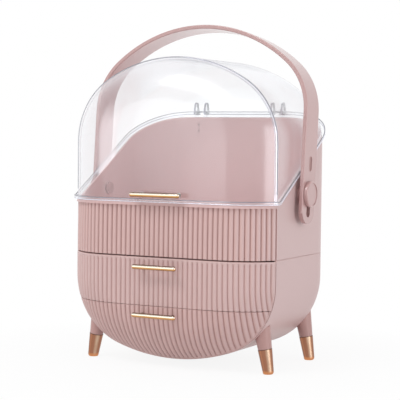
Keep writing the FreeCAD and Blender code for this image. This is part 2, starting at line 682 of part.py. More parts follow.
def make_handle():
    front_y = PIVOT_Y - HANDLE_BAND_WIDTH / 2.0
    depth = Vector(0, HANDLE_BAND_WIDTH, 0)
    inside = handle_face(HANDLE_THICKNESS, front_y).extrude(depth)
    band = handle_face(0.0, front_y).extrude(depth).cut(inside)
    long_edges = [edge for edge in band.Edges
                  if abs(edge.BoundBox.YMax - edge.BoundBox.YMin) < COINCIDENT
                  and edge.Length > 2 * HANDLE_THICKNESS]
    band = band.makeFillet(HANDLE_EDGE_ROUNDING, long_edges)
    foot_z = PIVOT_Z - HANDLE_FOOT_BELOW_PIVOT
    half = HANDLE_BAND_WIDTH / 2.0
    band = band.common(stadium(half, foot_z + half, FAR, -FAR, FAR))
    slot_radius = PIVOT_PIN_RADIUS + SLOT_CLEARANCE
    band = band.cut(stadium(slot_radius, PIVOT_Z - LIFT_TRAVEL - LIFT_SPARE, PIVOT_Z, -FAR, FAR))
    low = PIVOT_Z + RECESS_ABOVE_PIVOT - RECESS_LENGTH / 2.0
    radius = RECESS_WIDTH / 2.0
    for side in (-1, 1):
        x0, x1 = sorted((side * (ARM_OUTER_X - RECESS_DEPTH), side * (ARM_OUTER_X + MARGIN)))
        band = band.cut(stadium(radius, low + radius, low + RECESS_LENGTH - radius, x0, x1))
    return leaned(band)


def make_knob(side):
    face_x = ARM_OUTER_X + KNOB_GAP
    outer_x = face_x + KNOB_THICKNESS
    knob = rod(KNOB_RADIUS, (face_x, PIVOT_Y, PIVOT_Z), (outer_x, PIVOT_Y, PIVOT_Z))
    rim = [edge for edge in knob.Edges
           if edge.Closed and abs(edge.BoundBox.XMax - outer_x) < COINCIDENT]
    knob = knob.makeFillet(KNOB_ROUNDING, rim)
    dish = rod(KNOB_RADIUS - KNOB_RIM, (outer_x - KNOB_DISH_DEPTH, PIVOT_Y, PIVOT_Z),
               (outer_x + MARGIN, PIVOT_Y, PIVOT_Z))
    pin_end_x = HALF_WIDTH - SHELL_WALL - PIVOT_CLIP_THICKNESS - PIVOT_PIN_PROUD
    pin = rod(PIVOT_PIN_RADIUS, (pin_end_x, PIVOT_Y, PIVOT_Z), (face_x + MARGIN, PIVOT_Y, PIVOT_Z))
    knob = knob.cut(dish).fuse(pin)
    return knob if side > 0 else mirrored(knob)


def make_pivot_boss(side):
    boss = rod(BOSS_RADIUS, (HALF_WIDTH, PIVOT_Y, PIVOT_Z), (ARM_INNER_X - BOSS_GAP, PIVOT_Y, PIVOT_Z))
    boss = boss.cut(rod(PIVOT_PIN_RADIUS + PIN_RUNNING_FIT,
                        (HALF_WIDTH - MARGIN, PIVOT_Y, PIVOT_Z), (ARM_INNER_X, PIVOT_Y, PIVOT_Z)))
    return boss if side > 0 else mirrored(boss)


def make_pivot_clip(side):
    outer_x = HALF_WIDTH - SHELL_WALL - RUN_GAP
    clip = rod(PIVOT_CLIP_RADIUS, (outer_x - PIVOT_CLIP_THICKNESS, PIVOT_Y, PIVOT_Z),
               (outer_x, PIVOT_Y, PIVOT_Z))
    clip = clip.cut(rod(PIVOT_PIN_RADIUS, (0, PIVOT_Y, PIVOT_Z), (HALF_WIDTH, PIVOT_Y, PIVOT_Z)))
    return clip if side > 0 else mirrored(clip)


# ---------------------------------------------------------------- build
def main():
    os.makedirs("parts", exist_ok=True)
    export("upper_shell", make_upper_shell())
    export("lower_shell", make_lower_shell())
    export("shell_screws", make_shell_screws())
    export("drawer_shelf", make_shelf())
    for word, side in (("left", -1), ("right", 1)):
        export("middle_runner_" + word, make_runner(side, MIDDLE_RUNNER_Z))
        export("lower_runner_" + word, make_runner(side, LOWER_RUNNER_Z))
        export("lower_skid_" + word, make_skid(side))
        export("pivot_boss_" + word, make_pivot_boss(side))
        export("pivot_knob_" + word, make_knob(side))
        export("pivot_clip_" + word, make_pivot_clip(side))
        export("hinge_bracket_" + word, make_bracket(side))
        export("hinge_pin_" + word, make_hinge_pin(side))
    export("bracket_screws", make_bracket_screws())
    studs = []
    nuts = []
    for name, side, y, boss_top in leg_places():
        export("leg_" + name, make_leg(side, y))
        export("leg_cap_" + name, make_leg_cap(side, y))
        studs.append(make_leg_stud(side, y, boss_top))
        nuts.append(make_leg_nut(side, y, boss_top))
    export("leg_studs", Part.makeCompound(studs))
    export("leg_nuts", Part.makeCompound(nuts))
    export("middle_drawer_front",
           make_drawer_front(MIDDLE_FRONT_BOTTOM, MIDDLE_FRONT_TOP, MIDDLE_PULL_Z, True))
    export("middle_drawer_tray",
           make_tray(MIDDLE_FRONT_BOTTOM, MIDDLE_FRONT_TOP, MIDDLE_FRONT_BOTTOM))
    export("middle_drawer_pull", make_pull(DRAWER_PULL_LENGTH, MIDDLE_PULL_Z))
    export("middle_pull_screws",
           make_pull_screws(DRAWER_PULL_LENGTH, MIDDLE_PULL_Z, PULL_PAD_DEPTH))
    export("lower_drawer_front", make_drawer_front(-FAR, LOWER_FRONT_TOP, LOWER_PULL_Z, False))
    export("lower_drawer_tray", make_tray(-FAR, LOWER_FRONT_TOP, -FAR))
    export("lower_drawer_pull", make_pull(DRAWER_PULL_LENGTH, LOWER_PULL_Z))
    export("lower_pull_screws",
           make_pull_screws(DRAWER_PULL_LENGTH, LOWER_PULL_Z, PULL_PAD_DEPTH))
    export("cover", make_cover())
    export("cover_pull", make_pull(COVER_PULL_LENGTH, COVER_PULL_Z))
    export("cover_pull_screws", make_pull_screws(COVER_PULL_LENGTH, COVER_PULL_Z, COVER_WALL))
    export("handle_band", make_handle())


main()
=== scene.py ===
import json
import math

import bmesh
import bpy
from mathutils import Matrix, Vector

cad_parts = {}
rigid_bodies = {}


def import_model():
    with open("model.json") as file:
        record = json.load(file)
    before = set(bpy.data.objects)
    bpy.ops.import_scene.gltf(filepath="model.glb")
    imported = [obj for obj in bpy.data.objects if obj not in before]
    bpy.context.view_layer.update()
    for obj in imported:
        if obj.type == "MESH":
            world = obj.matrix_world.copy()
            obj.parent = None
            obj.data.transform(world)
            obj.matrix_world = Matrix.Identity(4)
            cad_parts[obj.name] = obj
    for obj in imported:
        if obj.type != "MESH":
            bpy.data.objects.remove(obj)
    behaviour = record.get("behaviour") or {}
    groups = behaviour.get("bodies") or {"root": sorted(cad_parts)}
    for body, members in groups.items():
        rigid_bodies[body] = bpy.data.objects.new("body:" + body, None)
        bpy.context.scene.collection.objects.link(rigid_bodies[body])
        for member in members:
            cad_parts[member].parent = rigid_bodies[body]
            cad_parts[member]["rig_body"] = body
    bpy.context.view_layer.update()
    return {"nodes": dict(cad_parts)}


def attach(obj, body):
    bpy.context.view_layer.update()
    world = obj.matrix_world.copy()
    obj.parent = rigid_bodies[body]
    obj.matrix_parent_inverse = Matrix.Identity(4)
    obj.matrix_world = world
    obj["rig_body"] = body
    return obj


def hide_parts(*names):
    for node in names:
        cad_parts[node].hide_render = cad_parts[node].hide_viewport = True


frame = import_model()
scene = bpy.context.scene
scene.view_settings.view_transform = "Standard"

# ---- View and studio
# A long lens a little above the middle of the case, to its right.  White surroundings, a pale
# floor that keeps a faint shadow, one broad soft lamp on the right, one in front and one above.
CAMERA_PLACE = Vector((0.8069, -1.4785, 0.2876))
CAMERA_YAW = math.radians(28.58)
CAMERA_PITCH = math.radians(2.9)
CAMERA_ROLL = math.radians(0.57)
CAMERA_LENS = 119.84
SURROUND_LIGHT = 0.63
FLOOR_PALE = (0.80, 0.80, 0.81, 1.0)
SHADOW_SHARE = 0.12
SHADOW_REACH = 0.19
SHADOW_FALLOFF = 0.8
FLOOR_HALF = 8.0

across = Vector((math.cos(CAMERA_YAW), math.sin(CAMERA_YAW), 0.0))
ahead = Vector((-math.sin(CAMERA_YAW), math.cos(CAMERA_YAW), 0.0))
ahead = ahead * math.cos(CAMERA_PITCH) + Vector((0.0, 0.0, -math.sin(CAMERA_PITCH)))
upward = across.cross(ahead)
camera_x = across * math.cos(CAMERA_ROLL) + upward * math.sin(CAMERA_ROLL)
camera_y = upward * math.cos(CAMERA_ROLL) - across * math.sin(CAMERA_ROLL)
camera_data = bpy.data.cameras.new("studio_camera")
camera_data.sensor_width = 36.0
camera_data.lens = CAMERA_LENS
camera_data.clip_end = 50.0
camera = bpy.data.objects.new("studio_camera", camera_data)
camera.matrix_world = Matrix.Translation(CAMERA_PLACE) @ Matrix(
    (camera_x, camera_y, -ahead)).transposed().to_4x4()
scene.collection.objects.link(camera)
scene.camera = camera


class Wire:
    """A node's output that takes arithmetic, each step being one more Math node."""

    def __init__(self, tree, socket):
        self.tree = tree
        self.socket = socket

    def other(self, name):
        return Wire(self.tree, self.socket.node.outputs[name])

    def step(self, operation, *values):
        return self.tree.node("ShaderNodeMath", {"operation": operation},
                              dict(enumerate(values)))

    def __add__(self, value):
        return self.step("ADD", self, value)

    def __radd__(self, value):
        return self.step("ADD", value, self)

    def __sub__(self, value):
        return self.step("SUBTRACT", self, value)

    def __rsub__(self, value):
        return self.step("SUBTRACT", value, self)

    def __mul__(self, value):
        return self.step("MULTIPLY", self, value)

    def __rmul__(self, value):
        return self.step("MULTIPLY", value, self)

    def __truediv__(self, value):
        return self.step("DIVIDE", self, value)

    def __rtruediv__(self, value):
        return self.step("DIVIDE", value, self)

    def __pow__(self, value):
        return self.step("POWER", self, value)

    def clipped(self):
        return self.step("MINIMUM", self.step("MAXIMUM", self, 0.0), 1.0)


class Tree:
    """A node tree filled through one method."""

    def __init__(self, node_tree):
        self.tree = node_tree
        self.tree.nodes.clear()

    def node(self, kind, settings=None, inputs=None, output=0):
        made = self.tree.nodes.new(kind)
        for name, value in (settings or {}).items():
            if name == "stops":
                ramp = made.color_ramp.elements
                while len(ramp) < len(value):
                    ramp.new(0.5)
                for element, (place, colour) in zip(ramp, value):
                    element.position = place
                    element.color = colour
            else:
                setattr(made, name, value)
        for name, value in (inputs or {}).items():
            if isinstance(value, Wire):
                self.tree.links.new(value.socket, made.inputs[name])
            else:
                made.inputs[name].default_value = value
        return Wire(self, made.outputs[output]) if len(made.outputs) else made

    def blend(self, share, first, second):
        return self.node("ShaderNodeMix", {"data_type": "RGBA"},
                         {0: share, 6: first, 7: second}, 2)


def seen_ray(tree):
    # 1 for what the camera sees straight, mirrored or through glass
    path = tree.node("ShaderNodeLightPath", output="Is Camera Ray")
    return (path + path.other("Is Glossy Ray") + path.other("Is Transmission Ray")).clipped()


world = bpy.data.worlds.new("studio_white")
world.use_nodes = True
scene.world = world
tree = Tree(world.node_tree)
brightness = SURROUND_LIGHT + (1.0 - SURROUND_LIGHT) * seen_ray(tree)
sky = tree.node("ShaderNodeBackground", {},
                {"Color": (1.0, 1.0, 1.0, 1.0), "Strength": brightness})
tree.node("ShaderNodeOutputWorld", {}, {"Surface": sky})

floor_finish = bpy.data.materials.new("floor_pale")
floor_finish.use_nodes = True
tree = Tree(floor_finish.node_tree)
place = tree.node("ShaderNodeTexCoord", output="Object")
reach = tree.node("ShaderNodeVectorMath", {"operation": "LENGTH"}, {0: place}, "Value")
near = (1.0 - reach / (SHADOW_REACH * 2.0)).clipped() ** SHADOW_FALLOFF
matt = tree.node("ShaderNodeBsdfDiffuse", {}, {"Color": FLOOR_PALE})
glow = tree.node("ShaderNodeEmission", {}, {"Color": (1.0, 1.0, 1.0, 1.0), "Strength": 1.0})
share = (1.0 - SHADOW_SHARE * near) * seen_ray(tree)
surface = tree.node("ShaderNodeMixShader", {}, {0: share, 1: matt, 2: glow})
tree.node("ShaderNodeOutputMaterial", {}, {"Surface": surface})

floor_mesh = bpy.data.meshes.new("studio_floor")
floor_corners = [(x * FLOOR_HALF, y * FLOOR_HALF, 0.0)
                 for x, y in ((-1, -1), (1, -1), (1, 1), (-1, 1))]
floor_mesh.from_pydata(floor_corners, [], [(0, 1, 2, 3)])
floor_mesh.materials.append(floor_finish)
floor = bpy.data.objects.new("studio_floor", floor_mesh)
scene.collection.objects.link(floor)


def soft_lamp(name, place, aim, size, watts):
    data = bpy.data.lights.new(name, "AREA")
    data.shape = "RECTANGLE"
    data.size, data.size_y = size
    data.energy = watts
    lamp = bpy.data.objects.new(name, data)
    turn = (Vector(aim) - Vector(place)).to_track_quat("-Z", "Y")
    lamp.matrix_world = Matrix.Translation(place) @ turn.to_matrix().to_4x4()
    scene.collection.objects.link(lamp)


soft_lamp("lamp_above", (-0.5, -1.35, 2.05), (0.0, 0.0, 0.2), (1.1, 0.7), 21.0)
soft_lamp("lamp_right", (1.9, -0.3, 0.3), (0.0, 0.0, 0.25), (0.9, 1.3), 11.5)
soft_lamp("lamp_front", (-0.9, -2.2, 0.5), (0.0, 0.0, 0.2), (1.4, 1.0), 5.0)


# ---- Upper shell
# Injection-moulded satin plastic: an open compartment whose front is a cushion of vertical
# flutes under a plain rim band, and whose sides rise to the hinges at the back.
MM = 0.001
EDGE_Y = -65.0               # crisp front edge, in the frame
HALF_WIDTH = 140.0
CORNER = 90.0
CORNER_X = 50.0
LOWER_SPRING, UPPER_SPRING = 108.0, 275.0
BOTTOM_Z, TOP_Z = 9.5, 379.5
BODY_DEPTH = 170.0
REAR_ROUND = 50.0
SIDE_RUN = BODY_DEPTH - REAR_ROUND
BULGE, ROLL = 36.0, 72.0     # how far the cushion stands out, and the radius of its edges
WALL = 3.0
SEAM_Z = 138.0
RIM_FRONT, RIM_BACK = 203.0, 309.0
BAND_LOW = 199.3
BAND_STANDS_OUT = 0.9
BAND_LIP = 1.7
BAND_EDGE_ROWS = (-0.5, 0.0, 0.12, 0.5, 1.0, 3.2)   # rows of points from the band's lower edge up
BAND_EDGE_MIDDLE = 0.06
FLUTES = 46
FLUTE_DEPTH = 1.9
VALLEY_WIDTH = 0.8
FLUTE_STEPS = 10
SIDE_STEPS, ROUND_STEPS, BACK_STEPS = 12, 16, 16
BEHIND_CREASE = 0.4          # first point of a side wall, behind the crisp edge
INNER_CORNER = 0.52          # share of the wall by which the inner side walls start behind it
CROWN_NEARER = 80.0          # deeper inside the outline, a crown may be the nearest side
RIB_ROWS, INNER_ROWS = 16, 12
SEAM_ROUND = 0.45
FIRST_RIB_ROW, PLAIN_ENDS = 1.2, 2.6         # rows of ribs stop short of seam and band
INNER_HIGH, INNER_RUN = 0.96, 0.9
SEAM_ZONE, SEAM_FADE = 0.3, 0.75
BAND_FADE, CREASE_FADE = 0.4, 4.0
RIM_ROUNDING = ((0.8, 0.0), (0.25, 0.15), (0.0, 0.6))        # down from the rim, inset
FLOOR_ROUNDING = ((0.0, 2.0), (0.6, 0.6), (2.0, 0.0))        # inset, up from the floor
SOFT_EDGE = 32.0             # an edge that turns less than this shades as round
MERGE = 1e-5
CLOUD_SCALE, GRAIN_SCALE, GRAIN_DEPTH = 11.0, 1400.0, 0.00006
PINK = (0.640, 0.432, 0.410, 1.0)
PINK_DEEP = (0.595, 0.385, 0.362, 1.0)
# painted sheen: the plain sides take a paler, greyer pink for the white light they mirror
SIDE_SHEEN_PINK = (0.625, 0.455, 0.448, 1.0)
# painted light: the inner walls take a paler, bluer pink for the light and haze on them
INNER_LIT_PINK = (0.668, 0.452, 0.445, 1.0)
# painted shade: the darker pink laid into the valleys between ribs
VALLEY_SHADE_PINK = (0.39, 0.195, 0.170, 1.0)

ROLL_ANGLE = math.acos(1.0 - BULGE / ROLL)
FLAT_HALF = HALF_WIDTH - ROLL * math.sin(ROLL_ANGLE)
HALF_ARC = FLAT_HALF + ROLL * ROLL_ANGLE
FLUTE_PITCH = 2.0 * HALF_ARC / FLUTES


def crown(rise):
    return (CORNER_X ** 2 + rise ** 2 - CORNER ** 2) / (2.0 * (rise - CORNER))


CROWN_LOW = crown(LOWER_SPRING - BOTTOM_Z)
CROWN_HIGH = crown(TOP_Z - UPPER_SPRING)
CROWN_LOW_Z = BOTTOM_Z + CROWN_LOW
CROWN_HIGH_Z = TOP_Z - CROWN_HIGH


def inside_outline(x, z):
    # how far inside the front outline a point lies, and the outline's outward direction there
    side = 1.0 if x >= 0.0 else -1.0
    x = abs(x)
    found = [(HALF_WIDTH - x, (1.0, 0.0))]
    for spring, centre_z, radius, way in ((LOWER_SPRING, CROWN_LOW_Z, CROWN_LOW, -1.0),
                                          (UPPER_SPRING, CROWN_HIGH_Z, CROWN_HIGH, 1.0)):
        down = (z - spring) * way
        if down <= 0.0:
            continue
        lean = (spring - centre_z) * way
        if x * lean <= CORNER_X * (z - centre_z) * way:
            dx, dz, r = x, z - centre_z, radius
        else:
            dx, dz, r = x - CORNER_X, z - spring, CORNER
        far = math.hypot(dx, dz)
        found = [(r - far, (dx / far, dz / far))]
    depth, (nx, nz) = min(found)
    if LOWER_SPRING <= z <= UPPER_SPRING or depth > CROWN_NEARER:
        for centre_z, radius, way in ((CROWN_LOW_Z, CROWN_LOW, -1.0),
                                      (CROWN_HIGH_Z, CROWN_HIGH, 1.0)):
            far = math.hypot(x, z - centre_z)
            if (z - centre_z) * way > 0.0 and radius - far < depth:
                depth, nx, nz = radius - far, x / far, (z - centre_z) / far
    return depth, side * nx, nz


def cushion(x, z):
    # front surface over a point of the outline's plane: its y and its outward normal
    depth, nx, nz = inside_outline(x, z)
    rolled = HALF_WIDTH - FLAT_HALF - depth
    if rolled <= 0.0:
        return -BULGE, Vector((0.0, -1.0, 0.0))
    angle = math.asin(min(rolled / ROLL, 1.0))
    turn = math.sin(angle)
    normal = Vector((nx * turn, -math.cos(angle), nz * turn))
    return ROLL * (1.0 - math.cos(angle)) - BULGE, normal


def plan_x(arc):
    # x of the front's plan curve at a signed distance from its middle
    over = max(abs(arc) - FLAT_HALF, 0.0)
    return math.copysign(min(abs(arc), FLAT_HALF) + ROLL * math.sin(over / ROLL), arc)


def rim_height(y):
    return RIM_FRONT + max(y, 0.0) * (RIM_BACK - RIM_FRONT) / BODY_DEPTH


def capsule_x(z, inset):
    # half width of the outline, inset, at a height between the bottom arc and the top arc
    over = z - UPPER_SPRING if z > UPPER_SPRING else min(z - LOWER_SPRING, 0.0)
    return CORNER_X + math.sqrt(max((CORNER - inset) ** 2 - over ** 2, 0.0))


def moulding(name, points, faces, layers):
    # a closed moulding in the frame's metres from points in millimetres behind the crisp edge
    bm = bmesh.new()
    for x, y, z in points:
        bm.verts.new((x * MM, (y + EDGE_Y) * MM, z * MM))
    bm.verts.ensure_lookup_table()
    for label, values in layers.items():
        vector = hasattr(values[0], "__len__")
        kinds = bm.verts.layers.float_vector if vector else bm.verts.layers.float
        layer = kinds.new(label)
        for vertex, value in zip(bm.verts, values):
            vertex[layer] = value
    for face in faces:
        if len(set(face)) == len(face):
            bm.faces.new([bm.verts[i] for i in face])
    bmesh.ops.remove_doubles(bm, verts=bm.verts, dist=MERGE)
    bmesh.ops.dissolve_degenerate(bm, edges=bm.edges, dist=MERGE * 0.5)
    bmesh.ops.recalc_face_normals(bm, faces=bm.faces)
    mesh = bpy.data.meshes.new(name)
    bm.to_mesh(mesh)
    bm.free()
    mesh.shade_smooth()
    mesh.set_sharp_from_angle(angle=math.radians(SOFT_EDGE))
    piece = bpy.data.objects.new(name, mesh)
    scene.collection.objects.link(piece)
    return piece


def satin_plastic(name, colour, deep, roughness, coat, valley=None, painted_light_facing=None):
    # moulded plastic with a fine spark grain, faint flow clouds and a soft sheen; between ribs a
    # painted shade makes it go deeper, the inner walls can be painted a paler pink for their light,
    # and faces that look along one axis can be painted a pink of their own for how light falls on
    # them
    finish = bpy.data.materials.new(name)
    finish.use_nodes = True
    tree = Tree(finish.node_tree)
    place = tree.node("ShaderNodeTexCoord", output="Object")
    clouds = tree.node("ShaderNodeTexNoise", {},
                       {"Vector": place, "Scale": CLOUD_SCALE, "Detail": 3.0})
    grain = tree.node("ShaderNodeTexNoise", {},
                      {"Vector": place, "Scale": GRAIN_SCALE, "Detail": 2.0})
    tint = tree.blend((clouds * 0.9 - 0.2).clipped(), colour, deep)
    # painted light: faces that look along the given axis blend towards a pink of their own, for how
    # light falls on them
    if painted_light_facing:
        aside = tree.node("ShaderNodeSeparateXYZ", {}, {0: place.other("Normal")}, painted_light_facing[0])
        tint = tree.blend(aside.step("ABSOLUTE", aside) ** 2.0, tint, painted_light_facing[1])
    # painted shade: the valleys between ribs are darkened towards the valley colour
    if valley:
        count = tree.node("ShaderNodeAttribute", {"attribute_name": "flute"}, output="Fac")
        share = tree.node("ShaderNodeAttribute", {"attribute_name": "fluted"}, output="Fac")
        swing = count.step("ABSOLUTE", count.step("FRACT", count) * 2.0 - 1.0)
        tint = tree.blend((swing ** 4.0 * share * 0.9).clipped(), tint, valley)
        # painted light: the inner walls blend to the paler inner pink
        within = tree.node("ShaderNodeAttribute", {"attribute_name": "within"}, output="Fac")
        tint = tree.blend(within, tint, INNER_LIT_PINK)
    bump = tree.node("ShaderNodeBump", {},
                     {"Strength": 0.12, "Distance": GRAIN_DEPTH, "Height": grain})
    surface = tree.node("ShaderNodeBsdfPrincipled", {}, {
        "Base Color": tint, "Roughness": roughness + (clouds - 0.5) * 0.08, "Normal": bump,
        "Coat Weight": coat, "Coat Roughness": 0.18, "IOR": 1.5})
    tree.node("ShaderNodeOutputMaterial", {}, {"Surface": surface})
    return finish


pink_shell = satin_plastic("pink_shell", PINK, PINK_DEEP, roughness=0.44, coat=0.06,
                           painted_light_facing=("X", SIDE_SHEEN_PINK))
pink_ribbed = satin_plastic("pink_ribbed", PINK, PINK_DEEP, roughness=0.42, coat=0.10,
                            valley=VALLEY_SHADE_PINK, painted_light_facing=("X", SIDE_SHEEN_PINK))


def flute_tree(finish):
    # sinks the valleys between ribs into a smooth front, along each point's own normal
    group = bpy.data.node_groups.new("flutes", "GeometryNodeTree")
    group.interface.new_socket("Geometry", in_out="INPUT", socket_type="NodeSocketGeometry")
    group.interface.new_socket("Depth", in_out="INPUT", socket_type="NodeSocketFloat")
    group.interface.new_socket("Valley Width", in_out="INPUT", socket_type="NodeSocketFloat")
    group.interface.new_socket("Geometry", in_out="OUTPUT", socket_type="NodeSocketGeometry")
    tree = Tree(group)
    given = tree.node("NodeGroupInput", output="Geometry")
    count = tree.node("GeometryNodeInputNamedAttribute", {"data_type": "FLOAT"}, {"Name": "flute"})
    share = tree.node("GeometryNodeInputNamedAttribute", {"data_type": "FLOAT"}, {"Name": "fluted"})
    outward = tree.node("GeometryNodeInputNamedAttribute", {"data_type": "FLOAT_VECTOR"},
                        {"Name": "outward"})
    swing = count.step("ABSOLUTE", count.step("FRACT", count) * 2.0 - 1.0)
    sink = swing ** (2.0 / given.other("Valley Width")) * given.other("Depth") * share * -1.0
    shift = tree.node("ShaderNodeVectorMath", {"operation": "SCALE"}, {0: outward, "Scale": sink})
    moved = tree.node("GeometryNodeSetPosition", {}, {"Geometry": given, "Offset": shift})
    whole = tree.node("GeometryNodeRealizeInstances", {}, {"Geometry": moved})
    done = tree.node("GeometryNodeSetMaterial", {}, {"Geometry": whole, "Material": finish})
    tree.node("NodeGroupOutput", {}, {"Geometry": done})
    return group


def shaped(piece, group, **sizes):
    # runs a tree on a piece and keeps the result as its plain mesh
    modifier = piece.modifiers.new("shaping", "NODES")
    modifier.node_group = group
    for item in group.interface.items_tree:
        label = item.name.replace(" ", "_").lower()
        if item.in_out == "INPUT" and label in sizes:
            modifier[item.identifier] = sizes[label]
    bpy.context.view_layer.update()
    graph = bpy.context.evaluated_depsgraph_get()
    mesh = bpy.data.meshes.new_from_object(piece.evaluated_get(graph))
    piece.modifiers.clear()
    old = piece.data
    piece.data = mesh
    bpy.data.meshes.remove(old)
    mesh.name = piece.name
    mesh.set_sharp_from_angle(angle=math.radians(SOFT_EDGE))
    return piece


flutes = flute_tree(pink_ribbed)

front_arcs = [-HALF_ARC + i * FLUTE_PITCH / FLUTE_STEPS for i in range(FLUTES * FLUTE_STEPS + 1)]
right_side = [("right", BEHIND_CREASE)]
right_side += [("right", SIDE_RUN * i / SIDE_STEPS) for i in range(1, SIDE_STEPS + 1)]
right_side += [("rear_right", math.radians(90.0 * i / ROUND_STEPS))
               for i in range(1, ROUND_STEPS + 1)]
left_side = [("left" if kind == "right" else "rear_left", value)
             for kind, value in reversed(right_side)]
plan = [("front", arc) for arc in front_arcs] + right_side
plan += [("back", 1.0 - 2.0 * i / BACK_STEPS) for i in range(1, BACK_STEPS)]
plan += left_side


def wall_point(kind, value, z, inset):
    # a point of the shell's plan at a height, inset from its outer face
    if kind == "front":
        over = max(abs(value) - FLAT_HALF, 0.0) / ROLL
        x = min(min(abs(value), FLAT_HALF) + (ROLL - inset) * math.sin(over), HALF_WIDTH - inset)
        return math.copysign(x, value), ROLL - BULGE - (ROLL - inset) * math.cos(over)
    sign = 1.0 if kind in ("right", "rear_right") else -1.0
    if kind in ("right", "left"):
        return sign * capsule_x(z, inset), max(value, inset * INNER_CORNER)
    turn = REAR_ROUND - inset
    if kind == "back":
        return value * capsule_x(z, inset + turn), BODY_DEPTH - inset
    rounded = inset + turn * (1.0 - math.cos(value))
    return sign * capsule_x(z, rounded), BODY_DEPTH - REAR_ROUND + turn * math.sin(value)


def shell_row(height, inset, level=None):
    # one ring of points; height runs from 0 at the seam to 1 at the sloping rim, so that a
    # point's place and its height are settled together in three rounds
    ring = []
    for kind, value in plan:
        z = SEAM_Z
        for settling in range(3):
            x, y = wall_point(kind, value, z, inset)
            z = SEAM_Z + height * (rim_height(y) - SEAM_Z) if level is None else level
        x, y = wall_point(kind, value, z, inset)
        ring.append((x, y, z))
    return ring


tall = RIM_FRONT - SEAM_Z
rows = [(0.0, SEAM_ROUND), (0.001, 0.18), (SEAM_ROUND / tall, 0.0), (FIRST_RIB_ROW / tall, 0.0)]
rows += [((FIRST_RIB_ROW + (BAND_LOW - SEAM_Z - PLAIN_ENDS) * i / RIB_ROWS) / tall, 0.0)
         for i in range(1, RIB_ROWS + 1)]
rows += [((BAND_LOW - SEAM_Z + step) / tall, 0.0) for step in BAND_EDGE_ROWS]
rows += [(1.0 - down / tall, inset) for down, inset in RIM_ROUNDING]
rings = [shell_row(height, inset) for height, inset in rows]
inner_rows = [(1.0 - down / tall, WALL - inset) for down, inset in reversed(RIM_ROUNDING)]
inner_rows += [(INNER_HIGH - INNER_RUN * i / INNER_ROWS, WALL) for i in range(INNER_ROWS + 1)]
rings += [shell_row(height, inset) for height, inset in inner_rows]
rings += [shell_row(0.0, WALL + inset, SEAM_Z + WALL + up) for inset, up in FLOOR_ROUNDING]
wide = len(plan)
points, phase, share, outward, within = [], [], [], [], []
for index, ring in enumerate(rings):
    height = rows[index][0] * tall + SEAM_Z if index < len(rows) else None
    for (kind, value), point in zip(plan, ring):
        points.append(point)
        front = kind == "front" and height is not None
        fade = min(max((BAND_LOW - height) / BAND_FADE, 0.0), 1.0) if front else 0.0
        if front and height < SEAM_Z + SEAM_ZONE:
            fade *= SEAM_FADE
        if front:
            sunk = BAND_STANDS_OUT * ((height - SEAM_Z) / (BAND_LOW - SEAM_Z)) ** 2
            if height > BAND_LOW + BAND_EDGE_MIDDLE:
                sunk = -BAND_LIP * (RIM_FRONT - height) / (RIM_FRONT - BAND_LOW)
            sunk *= min((HALF_ARC - abs(value)) / CREASE_FADE, 1.0)
            normal = cushion(point[0], point[2])[1]
            points[-1] = (point[0] - normal.x * sunk, point[1] - normal.y * sunk, point[2])
        phase.append((value + HALF_ARC) / FLUTE_PITCH if kind == "front" else 0.0)
        share.append(fade)
        within.append(0.0 if index < len(rows) else 1.0)
        outward.append(cushion(point[0], point[2])[1] if front else (0.0, 0.0, 1.0))
faces = []
for r in range(len(rings) - 1):
    for c in range(wide):
        n = (c + 1) % wide
        faces.append((r * wide + c, r * wide + n, (r + 1) * wide + n, (r + 1) * wide + c))
faces.append(tuple(range(wide)))
faces.append(tuple((len(rings) - 1) * wide + c for c in reversed(range(wide))))
upper = moulding("upper_compartment", points, faces,
                 {"flute": phase, "fluted": share, "outward": outward, "within": within})
shaped(upper, flutes, depth=FLUTE_DEPTH * MM, valley_width=VALLEY_WIDTH)
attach(upper, "case")
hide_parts("upper_shell")


# ---- Drawer fronts
# Two hollow satin mouldings, each closed behind by a plate on its tray, that carry the cushion on
# below the seam.  Their flutes line up with the shell's; the lower ones draw together as the
# front rolls under.
DRAWER_BACK_Y = -0.9
MIDDLE_TOP, MIDDLE_BOTTOM = 136.4, 77.8
LOWER_TOP = 77.3
DRAW_TOGETHER = 0.085
MIDDLE_BORDER = 2.6
TOP_EDGE = ((0.0, 0.75), (0.25, 0.22), (0.7, 0.0), (1.3, 0.0))       # down, inset
BORDER_ROWS = (1.4, 2.0, 2.6)
LOW_EDGE = ((0.6, 0.0), (0.2, 0.12), (0.0, 0.45))                    # up, inset
LOW_EDGE_HIGH = 1.3
FADE_DOWN, FADE_BACK = 0.9, 3.0
SIDE_SPARE = 0.05            # least width of the last column at each end
# painted light: a paler copy of the fronts' pink, with a lighter painted valley shade, for the
# brighter light on the middle drawer
MIDDLE_LIT_PINK = (0.635, 0.448, 0.428, 1.0)
MIDDLE_LIT_DEEP = (0.590, 0.395, 0.375, 1.0)
MIDDLE_VALLEY_SHADE = (0.530, 0.325, 0.300, 1.0)
EDGE_INSET = HALF_WIDTH - FLAT_HALF - math.sqrt(ROLL ** 2 - (ROLL - BULGE - DRAWER_BACK_Y) ** 2)


def lowest(x, inset):
    # height of the outline's lower side at an x, inset
    x = abs(x)
    big = CROWN_LOW - inset
    z = CROWN_LOW_Z - math.sqrt(max(big ** 2 - x ** 2, 0.0))
    if x * (CROWN_LOW_Z - LOWER_SPRING) > CORNER_X * (CROWN_LOW_Z - z):
        z = LOWER_SPRING - math.sqrt(max((CORNER - inset) ** 2 - (x - CORNER_X) ** 2, 0.0))
    return z


